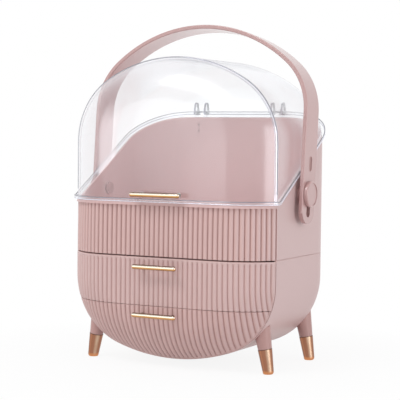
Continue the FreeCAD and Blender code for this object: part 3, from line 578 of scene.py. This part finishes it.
def drawer_front(name, top, bottom, steps, together, border, group):
    # a closed front: cushion, plain border above the flutes, flat top and bottom edges, flat back
    widest = capsule_x(top, EDGE_INSET) - 0.01
    arcs = [arc for arc in front_arcs if abs(plan_x(arc)) < widest - SIDE_SPARE]
    columns = [(plan_x(arc), arc) for arc in arcs]
    edge_arc = FLAT_HALF + ROLL * math.asin((widest - FLAT_HALF) / ROLL)
    columns = [(-widest, -edge_arc)] + columns + [(widest, edge_arc)]
    head = list(TOP_EDGE) + [(border + down, 0.0) for down in BORDER_ROWS]
    points, phase, share, outward = [], [], [], []
    grid = []
    for x, arc in columns:
        low = max(bottom, lowest(x, EDGE_INSET))
        cut = low > bottom + 1e-6
        tall = top - low
        start = head[-1][0]
        run = tall - (0.0 if cut else LOW_EDGE_HIGH) - start
        heights = head + [(start + run * math.sin(math.pi / 2 * i / steps), 0.0)
                          for i in range(1, steps + 1)]
        heights += [(tall, 0.0) if cut else (tall - up, fall) for up, fall in LOW_EDGE]
        column = []
        for down, fall in heights:
            z = max(top - min(down, tall), low)
            y, normal = cushion(x, z)
            y = min(y, DRAWER_BACK_Y)
            fade = min(max(down - border, 0.0) / FADE_DOWN, 1.0)
            fade *= min(max((DRAWER_BACK_Y - y) / FADE_BACK, 0.0), 1.0)
            column.append(len(points))
            points.append((x - normal.x * fall, y - normal.y * fall, z))
            lower = max(top - z, 0.0) / (LOWER_TOP - BOTTOM_Z)
            phase.append(arc / FLUTE_PITCH * (1.0 + together * lower ** 2) + FLUTES)
            share.append(fade)
            outward.append(normal)
        grid.append(column)
    faces = []
    for left, right in zip(grid[:-1], grid[1:]):
        for row in range(len(left) - 1):
            faces.append((left[row], left[row + 1], right[row + 1], right[row]))
    first_back = len(points)
    for column in grid:
        for end in (column[0], column[-1]):
            points.append((points[end][0], DRAWER_BACK_Y, points[end][2]))
            phase.append(0.0)
            share.append(0.0)
            outward.append((0.0, 0.0, 1.0))
    for index in range(len(grid) - 1):
        a, b = first_back + 2 * index, first_back + 2 * index + 2
        faces.append((grid[index][0], grid[index + 1][0], b, a))
        faces.append((grid[index][-1], a + 1, b + 1, grid[index + 1][-1]))
        faces.append((a, b, b + 1, a + 1))
    last = first_back + 2 * (len(grid) - 1)
    for column, back in ((grid[0], first_back), (grid[-1], last)):
        for row in range(len(column) - 1):
            corner = back + 1 if row + 1 == len(column) - 1 else back
            faces.append((column[row], column[row + 1], corner))
    piece = moulding(name, points, faces, {"flute": phase, "fluted": share, "outward": outward})
    return shaped(piece, group, depth=FLUTE_DEPTH * MM, valley_width=VALLEY_WIDTH)


# painted light: the middle front takes the paler copy of the ribbed pink
pale_ribbed = satin_plastic("pale_ribbed", MIDDLE_LIT_PINK, MIDDLE_LIT_DEEP, roughness=0.42, coat=0.10,
                            valley=MIDDLE_VALLEY_SHADE, painted_light_facing=("X", SIDE_SHEEN_PINK))
middle_lit_flutes = flute_tree(pale_ribbed)
middle_front = drawer_front("middle_front", MIDDLE_TOP, MIDDLE_BOTTOM, steps=18, together=0.0,
                            border=MIDDLE_BORDER, group=middle_lit_flutes)
lower_front = drawer_front("lower_front", LOWER_TOP, 0.0, steps=30, together=DRAW_TOGETHER,
                           border=0.0, group=flutes)
for front, body in ((middle_front, "middle_drawer"), (lower_front, "lower_drawer")):
    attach(front, body)
    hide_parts(body + "_front")


# ---- Lower shell and legs
# The bottom housing is one plain satin moulding that carries the upper shell on its seam.  Four
# splayed, tapering legs of a deeper pink stand in its bosses, each held by a stud and a nut.
LEGS = ("front_left", "front_right", "rear_left", "rear_right")
LEG_PINK = (0.50, 0.295, 0.275, 1.0)
LEG_PINK_DEEP = (0.44, 0.25, 0.23, 1.0)
MOULD_EDGE = 30.0            # an edge that turns less than this shades as round
FLAT_WITHIN = 0.1            # degrees within which neighbouring triangles are one flat


def as_moulded(node, finish):
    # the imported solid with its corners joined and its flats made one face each, so that rounds
    # shade smoothly and flats stay flat
    source = frame["nodes"][node]
    bm = bmesh.new()
    bm.from_mesh(source.data)
    bmesh.ops.remove_doubles(bm, verts=bm.verts, dist=1e-6)
    bmesh.ops.dissolve_limit(bm, verts=bm.verts, edges=bm.edges,
                             angle_limit=math.radians(FLAT_WITHIN))
    mesh = bpy.data.meshes.new(node + "_part")
    bm.to_mesh(mesh)
    bm.free()
    mesh.materials.clear()
    mesh.materials.append(finish)
    mesh.shade_smooth()
    mesh.set_sharp_from_angle(angle=math.radians(MOULD_EDGE))
    piece = bpy.data.objects.new(node + "_part", mesh)
    scene.collection.objects.link(piece)
    modifier = piece.modifiers.new("flat_faces", "WEIGHTED_NORMAL")
    modifier.keep_sharp = True
    bpy.context.view_layer.update()
    graph = bpy.context.evaluated_depsgraph_get()
    piece.data = bpy.data.meshes.new_from_object(piece.evaluated_get(graph))
    piece.modifiers.clear()
    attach(piece, source["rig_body"])
    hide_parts(node)
    return piece


as_moulded("lower_shell", pink_shell)
pink_leg = satin_plastic("pink_leg", LEG_PINK, LEG_PINK_DEEP, roughness=0.40, coat=0.15)
for leg in LEGS:
    as_moulded("leg_" + leg, pink_leg)


# ---- Shelf, runners and drawer trays
# The same plastic left matt: a shelf between the two bays, straight ribs along the shell's inner
# walls and floor, and two open trays that slide between them.
TRAY_PINK = (0.600, 0.405, 0.385, 1.0)
TRAY_PINK_DEEP = (0.550, 0.355, 0.335, 1.0)
pink_tray = satin_plastic("pink_tray", TRAY_PINK, TRAY_PINK_DEEP, roughness=0.5, coat=0.0)
for node in ("drawer_shelf", "middle_runner_left", "middle_runner_right", "lower_runner_left",
             "lower_runner_right", "lower_skid_left", "lower_skid_right", "middle_drawer_tray",
             "lower_drawer_tray"):
    as_moulded(node, pink_tray)


# ---- Leg caps
# Copper-plated tips, each pushed on to a spigot at its leg's end.  The plating ends in a thin dark
# burnt edge at the top; its colour carries a painted highlight band and a painted warm reflection
# on the rounded tip.
TIP_X, SPLAY = 0.125, math.radians(10.0)
CAP_COLLAR = 0.0291          # up the leg's axis, where the burnt edge starts
COLLAR_CRISP, COLLAR_SHARE = 2500.0, 0.85
COLLAR_BURNT = (0.05, 0.03, 0.025, 1.0)
# painted reflection: a warm orange laid on the rounded tip, up to this height
COPPER_TIP_REFLECTION = (0.0045, (0.66, 0.27, 0.11, 1.0))               # height of the warm tip, its colour
# painted highlight: the copper is lightest where it faces this way
COPPER_LIT = (0.72, -0.69, 0.0)
COPPER_HIGHLIGHT_TONES = (
    (0.0, (0.46, 0.25, 0.16, 1.0)), (0.25, (0.34, 0.155, 0.092, 1.0)),
    (0.62, (0.31, 0.135, 0.078, 1.0)), (0.72, (0.46, 0.20, 0.11, 1.0)),
    (0.82, (0.34, 0.15, 0.088, 1.0)), (0.955, (0.36, 0.165, 0.10, 1.0)),
    (0.99, (0.50, 0.31, 0.21, 1.0)), (1.0, (0.60, 0.42, 0.30, 1.0)))


def plated(name, stops, towards, roughness, tip=None):
    # plating with painted light: its tone runs through the stops as the surface turns towards a
    # direction, which paints its highlights and reflections
    finish = bpy.data.materials.new(name)
    finish.use_nodes = True
    tree = Tree(finish.node_tree)
    place = tree.node("ShaderNodeTexCoord", output="Object")
    facing = tree.node("ShaderNodeVectorMath", {"operation": "DOT_PRODUCT"},
                       {0: place.other("Normal"), 1: Vector(towards).normalized()}, "Value")
    clouds = tree.node("ShaderNodeTexNoise", {}, {"Vector": place, "Scale": 60.0, "Detail": 2.0})
    painted_light_facing = (facing * 0.5 + 0.5 + (clouds - 0.5) * 0.04).clipped()
    tint = tree.node("ShaderNodeValToRGB", {"stops": stops}, {0: painted_light_facing})
    if tip:
        low = tree.node("ShaderNodeSeparateXYZ", {}, {0: place}, "Z")
        # painted reflection: the rounded tip warms towards the tip colour
        tint = tree.blend((1.0 - low / tip[0]).clipped() ** 0.5, tint, tip[1])
        aside = low.other("X").step("ABSOLUTE", low.other("X"))
        along = low * math.cos(SPLAY) - (aside - TIP_X) * math.sin(SPLAY)
        burnt = ((along - CAP_COLLAR) * COLLAR_CRISP).clipped() * COLLAR_SHARE
        tint = tree.blend(burnt, tint, COLLAR_BURNT)
    surface = tree.node("ShaderNodeBsdfPrincipled", {}, {
        "Base Color": tint, "Metallic": 1.0, "Roughness": roughness + clouds * 0.06})
    tree.node("ShaderNodeOutputMaterial", {}, {"Surface": surface})
    return finish


copper = plated("copper_plate", COPPER_HIGHLIGHT_TONES, COPPER_LIT, roughness=0.26, tip=COPPER_TIP_REFLECTION)
for leg in LEGS:
    as_moulded("leg_cap_" + leg, copper)


# ---- Pulls
# Three round bars on two posts each, of metal plated a pale gold, and held by screws from inside.
# Their colour carries a painted reflection: one bright band a little above their middle, warm tones
# below it and dark ones above.
UP = (0.0, 0.0, 1.0)
GOLD_REFLECTION_TONES = (
    (0.0, (0.36, 0.17, 0.08, 1.0)), (0.25, (0.56, 0.30, 0.12, 1.0)),
    (0.44, (0.72, 0.43, 0.20, 1.0)), (0.56, (0.78, 0.68, 0.54, 1.0)),
    (0.74, (0.80, 0.75, 0.68, 1.0)), (0.84, (0.30, 0.19, 0.12, 1.0)),
    (1.0, (0.14, 0.09, 0.06, 1.0)))
pale_gold = plated("pale_gold_plate", GOLD_REFLECTION_TONES, UP, roughness=0.14)
for node in ("middle_drawer_pull", "lower_drawer_pull", "cover_pull"):
    as_moulded(node, pale_gold)


# ---- Screws, studs, nuts and hinge pins
# Plain steel fixings, zinc plated: they join the shells, and hold the brackets, legs and pulls.
# The cover's ears turn on two brighter pins.  All of them are painted lighter where they face up
# and darker where they face down.
ZINC_TOPLIT_TONES = ((0.0, (0.50, 0.50, 0.52, 1.0)), (1.0, (0.72, 0.72, 0.73, 1.0)))
PIN_TOPLIT_TONES = ((0.0, (0.80, 0.80, 0.82, 1.0)), (1.0, (0.95, 0.95, 0.96, 1.0)))
zinc = plated("zinc_plate", ZINC_TOPLIT_TONES, UP, roughness=0.3)
bright_pin = plated("bright_pin", PIN_TOPLIT_TONES, UP, roughness=0.3)
for node in ("shell_screws", "bracket_screws", "leg_studs", "leg_nuts", "middle_pull_screws",
             "lower_pull_screws", "cover_pull_screws"):
    as_moulded(node, zinc)
for node in ("hinge_pin_left", "hinge_pin_right"):
    as_moulded(node, bright_pin)


# ---- Handle and its pivots
# One satin band moulded as an arch, with a slot at each foot and a shallow recess above it.  Two
# round knobs hold it to spacers on the shell, and clips keep their pins from inside.
RECESS_FLOOR, FLOOR_WITHIN = 0.1501, 0.0001  # the recess's floor, from the middle of the case
FLOOR_FACING, EDGE_FACING = 0.99, 0.3
ARCH_MIDDLE = 0.30
HANDLE_PINK = (0.530, 0.320, 0.312, 1.0)
HANDLE_PINK_DEEP = (0.505, 0.300, 0.292, 1.0)
# painted shade: faces of the handle parts that look along the case's depth take a deeper pink
HANDLE_EDGE_SHADE_PINK = (0.455, 0.270, 0.260, 1.0)
# painted light: the band's inner faces take a paler copy of its pink, paler still where they look
# up or down, for the light they mirror
UNDER_PINK = (0.550, 0.345, 0.335, 1.0)
UNDER_PINK_DEEP = (0.525, 0.320, 0.312, 1.0)
UNDER_SHEEN_PINK = (0.80, 0.63, 0.62, 1.0)
# painted shade: the recess floor takes a much darker pink for the shade in it
RECESS_SHADE_PINK = (0.400, 0.225, 0.215, 1.0)
RECESS_SHADE_PINK_DEEP = (0.380, 0.210, 0.200, 1.0)
pink_handle = satin_plastic("pink_handle", HANDLE_PINK, HANDLE_PINK_DEEP, roughness=0.34,
                            coat=0.90, painted_light_facing=("Y", HANDLE_EDGE_SHADE_PINK))
pink_under = satin_plastic("pink_under", UNDER_PINK, UNDER_PINK_DEEP, roughness=0.34,
                           coat=0.90, painted_light_facing=("Z", UNDER_SHEEN_PINK))
pink_recess = satin_plastic("pink_recess", RECESS_SHADE_PINK, RECESS_SHADE_PINK_DEEP, roughness=0.45,
                            coat=0.2)
for node in ("handle_band", "pivot_knob_left", "pivot_knob_right", "pivot_boss_left",
             "pivot_boss_right", "pivot_clip_left", "pivot_clip_right"):
    part = as_moulded(node, pink_handle)
    if node == "handle_band":
        part.data.materials.append(pink_recess)
        part.data.materials.append(pink_under)
        for face in part.data.polygons:
            middle, normal = face.center, face.normal
            outward_share = normal.x * middle.x + normal.z * (middle.z - ARCH_MIDDLE)
            on_floor = abs(abs(middle.x) - RECESS_FLOOR) < FLOOR_WITHIN
            # painted shade on the recess floor
            if on_floor and abs(normal.x) > FLOOR_FACING:
                face.material_index = 1
            # painted light: the inner faces take the paler underside copy
            elif outward_share < 0.0 and abs(normal.y) < EDGE_FACING:
                face.material_index = 2


# ---- Clear cover
# One polished clear moulding that carries the case's arch and cushion on upwards, with a thick
# flange round its foot, and four upright ears behind it that turn on the hinge pins.  Thin round
# beads along its crisp edge and flange, the strips beside that edge, the flange and the ears are
# coloured to paint the dark and pale lines that light draws on clear edges.
COVER_WALL = 2.4
SEAT_GAP = 0.3
FLANGE_HIGH, FLANGE_REACH = 4.0, 4.5
FLANGE_ROUND, FLANGE_ROUND_MIDDLE = 0.7, 0.2
FLANGE_ROOT = 0.5            # how far the flange reaches into the wall
EDGE_ROUND = 0.55
EDGE_STRIP = 1.5
SIDE_HEIGHTS = (150.0, 185.0, 215.0, 245.0)
ARCH_STEPS, ROLL_STEPS, BACK_ROUND_STEPS, SIDE_ROWS = 26, 18, 18, 6
BEAD_SIDES = 8
BEAD_TURN = Vector((0.0, 1.0, 0.31))
CREASE_BEAD, CREASE_IN, CREASE_Y = 0.78, 0.35, 0.15
CREASE_FOOT, CREASE_FROM = 4.5, -15.0        # from the rim: lowest point, side points kept
RIM_STEPS, BETWEEN_STEPS = 120, 10
FLANGE_BEADS = ((0.35, FLANGE_HIGH - 0.3, 0.55, 2), (0.3, 0.45, 0.65, 1))    # in, up, radius, slot
HINGE_X = 57.0
HINGE_Y, HINGE_Z = BODY_DEPTH + 5.5, RIM_BACK + 6.5
EAR_THICK, EAR_APART = 3.0, 6.1
EAR_EYE, EAR_TIP = 4.4, 3.4
EAR_LEANS, EAR_RISES = 1.2, 9.1
EAR_ROOT_Y = BODY_DEPTH - 1.0
EAR_ROOT_LOW, EAR_ROOT_HIGH = 3.6, 3.0
EAR_STEPS = 28
CRISP_EDGE = 50.0
# painted haze: a milkier band on the cover's side walls over the handle's arms
PIVOT_Y, HAZE_HALF_WIDTH = 0.002, 0.024       # in metres, as the finish reads them
HAZE_FROM_X, HAZE_CRISP_X, HAZE_CRISP_Y = 0.118, 60.0, 150.0
HAZE_MIDDLE, HAZE_LEFTWARD = 0.6, 2.8
# painted shade: where the mirrored colour turns grey towards the outline
OUTLINE_FROM, OUTLINE_OVER = 0.86, 0.1


def clear_plastic(name, least, most, power, roughness, pale, grey, clearness, glow, painted_haze=0.0):
    # lets light straight through; the share that it mirrors grows towards its outline, where a
    # painted shade turns it grey; a painted glow lightens it, and a painted haze makes it a little
    # milky on the side walls where the handle's arms stand behind it, most on the left
    finish = bpy.data.materials.new(name)
    finish.use_nodes = True
    tree = Tree(finish.node_tree)
    facing = tree.node("ShaderNodeLayerWeight", {}, {"Blend": 0.5}, "Facing")
    shadow = tree.node("ShaderNodeLightPath", output="Is Shadow Ray")
    place = tree.node("ShaderNodeTexCoord", output="Object")
    where = tree.node("ShaderNodeSeparateXYZ", {}, {0: place})
    beside = ((where.step("ABSOLUTE", where) - HAZE_FROM_X) * HAZE_CRISP_X).clipped()
    haze_offset = (where.other("Y") - PIVOT_Y).step("ABSOLUTE", where.other("Y") - PIVOT_Y)
    in_haze_band = ((HAZE_HALF_WIDTH - haze_offset) * HAZE_CRISP_Y).clipped()
    # painted haze: the band adds to the share mirrored and to the glow
    painted_haze_streak = in_haze_band * beside * (HAZE_MIDDLE - where * HAZE_LEFTWARD) * painted_haze
    share = (least + (most - least) * facing ** power + painted_haze_streak) * (1.0 - shadow)
    # painted shade: towards the outline the mirrored colour turns grey, for the dark lines there
    tint = tree.blend(((facing - OUTLINE_FROM) / OUTLINE_OVER).clipped(), pale, grey)
    through = tree.node("ShaderNodeBsdfTransparent", {}, {"Color": clearness})
    # painted light: the gloss glows faintly white by the glow share, though it is no lamp
    gloss = tree.node("ShaderNodeBsdfPrincipled", {}, {
        "Base Color": tint, "Metallic": 0.8, "Roughness": roughness,
        "Emission Color": tree.blend(glow + painted_haze_streak, (0.0, 0.0, 0.0, 1.0), (1.0, 1.0, 1.0, 1.0)),
        "Emission Strength": 1.0})
    surface = tree.node("ShaderNodeMixShader", {}, {0: share, 1: through, 2: gloss})
    tree.node("ShaderNodeOutputMaterial", {}, {"Surface": surface})
    return finish


clear = clear_plastic(
    "clear_plastic", least=0.055, most=0.80, power=3.4, roughness=0.2, glow=0.07, painted_haze=0.29,
    pale=(0.95, 0.97, 1.0, 1.0), grey=(0.40, 0.41, 0.47, 1.0), clearness=(0.990, 0.992, 0.995, 1.0))
# painted light: a milkier, paler copy for the strip along the crisp edge, the flange and its lower
# bead, for the pale lines light draws there
clear_edge = clear_plastic(
    "clear_edge", least=0.50, most=0.9, power=4.0, roughness=0.2, glow=0.08,
    pale=(0.86, 0.86, 0.93, 1.0), grey=(0.60, 0.60, 0.70, 1.0), clearness=(0.95, 0.95, 0.97, 1.0))
# painted shade: a dark grey copy for the beads along the crisp edge and the flange's top, and for
# the ears, for the dark lines seen there
clear_line = clear_plastic(
    "clear_line", least=0.85, most=0.9, power=4.0, roughness=0.3, glow=0.0,
    pale=(0.30, 0.30, 0.34, 1.0), grey=(0.24, 0.24, 0.28, 1.0), clearness=(0.95, 0.95, 0.97, 1.0))


def arch_points():
    # the outline from the right side over the top to the left, as centre, direction and radius
    lean = math.atan2(UPPER_SPRING - CROWN_HIGH_Z, CORNER_X)
    right = [((HALF_WIDTH, z), None, 0.0) for z in SIDE_HEIGHTS]
    right += [((CORNER_X, UPPER_SPRING), lean * i / ARCH_STEPS, CORNER) for i in range(ARCH_STEPS)]
    half = [((0.0, CROWN_HIGH_Z), lean + (math.pi / 2 - lean) * i / ARCH_STEPS, CROWN_HIGH)
            for i in range(ARCH_STEPS)]
    way = right + half + [((0.0, CROWN_HIGH_Z), math.pi / 2, CROWN_HIGH)]

    def at(index, inset):
        side = 1.0 if index < len(way) else -1.0
        (x, z), angle, radius = way[index if index < len(way) else 2 * len(way) - 2 - index]
        if angle is None:
            return side * (x - inset), z
        reach = radius - inset
        return side * (x + reach * math.cos(angle)), z + reach * math.sin(angle)

    return at, 2 * len(way) - 1


def dome_rows(inset):
    # the cover's section from the flat of the cushion to the flat of the back: (inset, y, crease)
    roll, round_back = ROLL - inset, REAR_ROUND - inset
    last = math.asin((HALF_WIDTH - FLAT_HALF - inset) / roll)
    soft = EDGE_ROUND / roll
    centre_y = ROLL - BULGE
    turns = [(last - soft - EDGE_STRIP / roll) * i / ROLL_STEPS for i in range(ROLL_STEPS + 1)]
    turns.append(last - soft)
    rows = [(HALF_WIDTH - FLAT_HALF - roll * math.sin(turn), centre_y - roll * math.cos(turn), 0)
            for turn in turns]
    rows[-1] = rows[-1][:2] + (1,)
    crisp_y = centre_y - roll * math.cos(last)
    rows += [(inset + 0.18, crisp_y - 0.22, 1), (inset + 0.05, crisp_y + 0.03, 1),
             (inset, crisp_y + EDGE_ROUND, 1), (inset, crisp_y + EDGE_ROUND + EDGE_STRIP, 1)]
    rows += [(inset, SIDE_RUN * i / SIDE_ROWS, 0) for i in range(1, SIDE_ROWS + 1)]
    for i in range(1, BACK_ROUND_STEPS + 1):
        turn = math.radians(90.0 * i / BACK_ROUND_STEPS)
        rows.append((inset + round_back * (1.0 - math.cos(turn)),
                     BODY_DEPTH - REAR_ROUND + round_back * math.sin(turn), 0))
    return rows


def add_dome(bm, inset, flip):
    # one skin of the cover, outer or inner, closed flat at its front and its back
    at, wide = arch_points()
    rows = dome_rows(inset)
    grid = []
    for depth, y, _ in rows:
        line = []
        for index in range(wide):
            x, z = at(index, depth)
            line.append(bm.verts.new((x * MM, (y + EDGE_Y) * MM, z * MM)))
        grid.append(line)
    for r in range(len(rows) - 1):
        for c in range(wide - 1):
            face = [grid[r][c], grid[r][c + 1], grid[r + 1][c + 1], grid[r + 1][c]]
            made = bm.faces.new(face[::-1] if flip else face)
            # painted light: the strip along the crisp edge takes the paler edge copy
            made.material_index = 1 if rows[r + 1][2] else 0
            made.smooth = True
    for line, back in ((grid[0], True), (grid[-1], False)):
        made = bm.faces.new(line[::-1] if back != flip else line)
        made.smooth = True


def add_bead(bm, track, radius, slot):
    # a thin round bead along a track of points, whose colour paints a dark or pale edge line
    grid = []
    for before, here, after in zip(track[:1] + track[:-1], track, track[1:] + track[-1:]):
        along = (Vector(after) - Vector(before)).normalized()
        first = along.cross(BEAD_TURN).normalized()
        second = along.cross(first)
        line = []
        for a in [math.tau * k / BEAD_SIDES for k in range(BEAD_SIDES)]:
            off = (first * math.cos(a) + second * math.sin(a)) * radius
            line.append(bm.verts.new((Vector(here) + off + Vector((0.0, EDGE_Y, 0.0))) * MM))
        grid.append(line)
    made = [bm.faces.new(grid[0]), bm.faces.new(grid[-1][::-1])]
    for low, high in zip(grid[:-1], grid[1:]):
        for k in range(BEAD_SIDES):
            n = (k + 1) % BEAD_SIDES
            made.append(bm.faces.new([low[k], high[k], high[n], low[n]]))
    for face in made:
        face.material_index = slot
        face.smooth = True


def add_ring(bm, path, section):
    # carries a closed section (inset, height, material) round part of the rim
    grid = []
    for kind, value in path:
        line = []
        for inset, high, slot in section:
            x, y = wall_point(kind, value, RIM_FRONT, inset)
            x, y = wall_point(kind, value, rim_height(y), inset)
            line.append(bm.verts.new((x * MM, (y + EDGE_Y) * MM, (rim_height(y) + high) * MM)))
        grid.append(line)
    for first, second in zip(grid[:-1], grid[1:]):
        for k in range(len(section)):
            n = (k + 1) % len(section)
            made = bm.faces.new([first[k], first[n], second[n], second[k]])
            made.material_index = section[k][2]
            made.smooth = True
    bm.faces.new(grid[0])
    bm.faces.new(grid[-1][::-1])


def hull(points):
    # outline round a set of points
    points = sorted(set(points))
    sides = []
    for run in (points, points[::-1]):
        side = []
        for point in run:
            while len(side) > 1 and ((side[-1][0] - side[-2][0]) * (point[1] - side[-2][1])
                                     - (side[-1][1] - side[-2][1]) * (point[0] - side[-2][0])) <= 0:
                side.pop()
            side.append(point)
        sides += side[:-1]
    return sides


def add_ear(bm, x0, x1):
    # an upright ear: eye round the pin, stem and rounded crown
    def ring(y, z, radius):
        return [(round(y + radius * math.cos(a), 5), round(z + radius * math.sin(a), 5))
                for a in [math.tau * i / EAR_STEPS for i in range(EAR_STEPS)]]
    outline = hull(ring(HINGE_Y, HINGE_Z, EAR_EYE)
                   + ring(HINGE_Y - EAR_LEANS, HINGE_Z + EAR_RISES, EAR_TIP)
                   + [(EAR_ROOT_Y, HINGE_Z - EAR_ROOT_LOW), (EAR_ROOT_Y, HINGE_Z + EAR_ROOT_HIGH)])
    ends = []
    for x in (x0, x1):
        ends.append([bm.verts.new((x * MM, (y + EDGE_Y) * MM, z * MM)) for y, z in outline])
    for k in range(len(outline)):
        n = (k + 1) % len(outline)
        made = bm.faces.new([ends[0][k], ends[0][n], ends[1][n], ends[1][k]])
        # painted shade: the ears take the dark edge-line colour
        made.material_index = 2
        made.smooth = True
    bm.faces.new(ends[0][::-1])
    bm.faces.new(ends[1])


bm = bmesh.new()
add_dome(bm, 0.0, False)
add_dome(bm, COVER_WALL, True)
slope = (RIM_BACK - RIM_FRONT) / BODY_DEPTH
foot = Vector((0.0, EDGE_Y * MM, (RIM_FRONT + SEAT_GAP) * MM))
for normal in (Vector((0.0, 0.0, 1.0)), Vector((0.0, -slope, 1.0)).normalized()):
    bmesh.ops.bisect_plane(bm, geom=bm.verts[:] + bm.edges[:] + bm.faces[:], dist=1e-7,
                           plane_co=foot, plane_no=normal, clear_inner=True)
bmesh.ops.remove_doubles(bm, verts=bm.verts, dist=2e-6)
bmesh.ops.bridge_loops(bm, edges=[edge for edge in bm.edges if edge.is_boundary])
at, wide = arch_points()
crisp = [at(index, CREASE_IN) for index in range(wide)]
crisp = [(x, CREASE_Y, max(z, RIM_FRONT + CREASE_FOOT))
         for x, z in crisp if z > RIM_FRONT + CREASE_FROM]
add_bead(bm, crisp, CREASE_BEAD, 2)

low, high, out = SEAT_GAP, SEAT_GAP + FLANGE_HIGH, -FLANGE_REACH
wide_in, near_in = FLANGE_ROUND, FLANGE_ROUND_MIDDLE
section = [(FLANGE_ROOT, low, 0), (out + wide_in, low, 1), (out + near_in, low + near_in, 1),
           (out, low + wide_in, 0), (out, high - wide_in, 1), (out + near_in, high - near_in, 1),
           (out + wide_in, high, 0), (FLANGE_ROOT, high, 0)]
back_half = capsule_x(RIM_BACK, REAR_ROUND)
pocket = (HINGE_X - EAR_APART) / back_half, (HINGE_X + EAR_APART) / back_half
rim_front = [("front", -HALF_ARC + 2.0 * HALF_ARC * i / RIM_STEPS) for i in range(RIM_STEPS + 1)]
long_way = [("back", -pocket[1])] + left_side + rim_front + right_side + [("back", pocket[1])]
between = [("back", pocket[0] - 2.0 * pocket[0] * i / BETWEEN_STEPS)
           for i in range(BETWEEN_STEPS + 1)]
for path in (long_way, between):
    add_ring(bm, path, section)
    for inward, height, radius, slot in FLANGE_BEADS:
        track = []
        for kind, value in path:
            x, y = wall_point(kind, value, RIM_FRONT, out + inward)
            x, y = wall_point(kind, value, rim_height(y), out + inward)
            track.append((x, y, rim_height(y) + low + height))
        add_bead(bm, track, radius, slot)
for side in (-1.0, 1.0):
    for inner, outer in ((-EAR_APART - EAR_THICK, -EAR_APART),
                         (EAR_APART, EAR_APART + EAR_THICK)):
        add_ear(bm, side * HINGE_X + inner, side * HINGE_X + outer)
bmesh.ops.recalc_face_normals(bm, faces=bm.faces)
mesh = bpy.data.meshes.new("clear_dome")
bm.to_mesh(mesh)
bm.free()
mesh.materials.append(clear)
mesh.materials.append(clear_edge)
mesh.materials.append(clear_line)
mesh.set_sharp_from_angle(angle=math.radians(CRISP_EDGE))
dome = bpy.data.objects.new("clear_dome", mesh)
scene.collection.objects.link(dome)
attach(dome, "cover")
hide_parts("cover")
for node in ("hinge_bracket_left", "hinge_bracket_right"):
    as_moulded(node, clear)
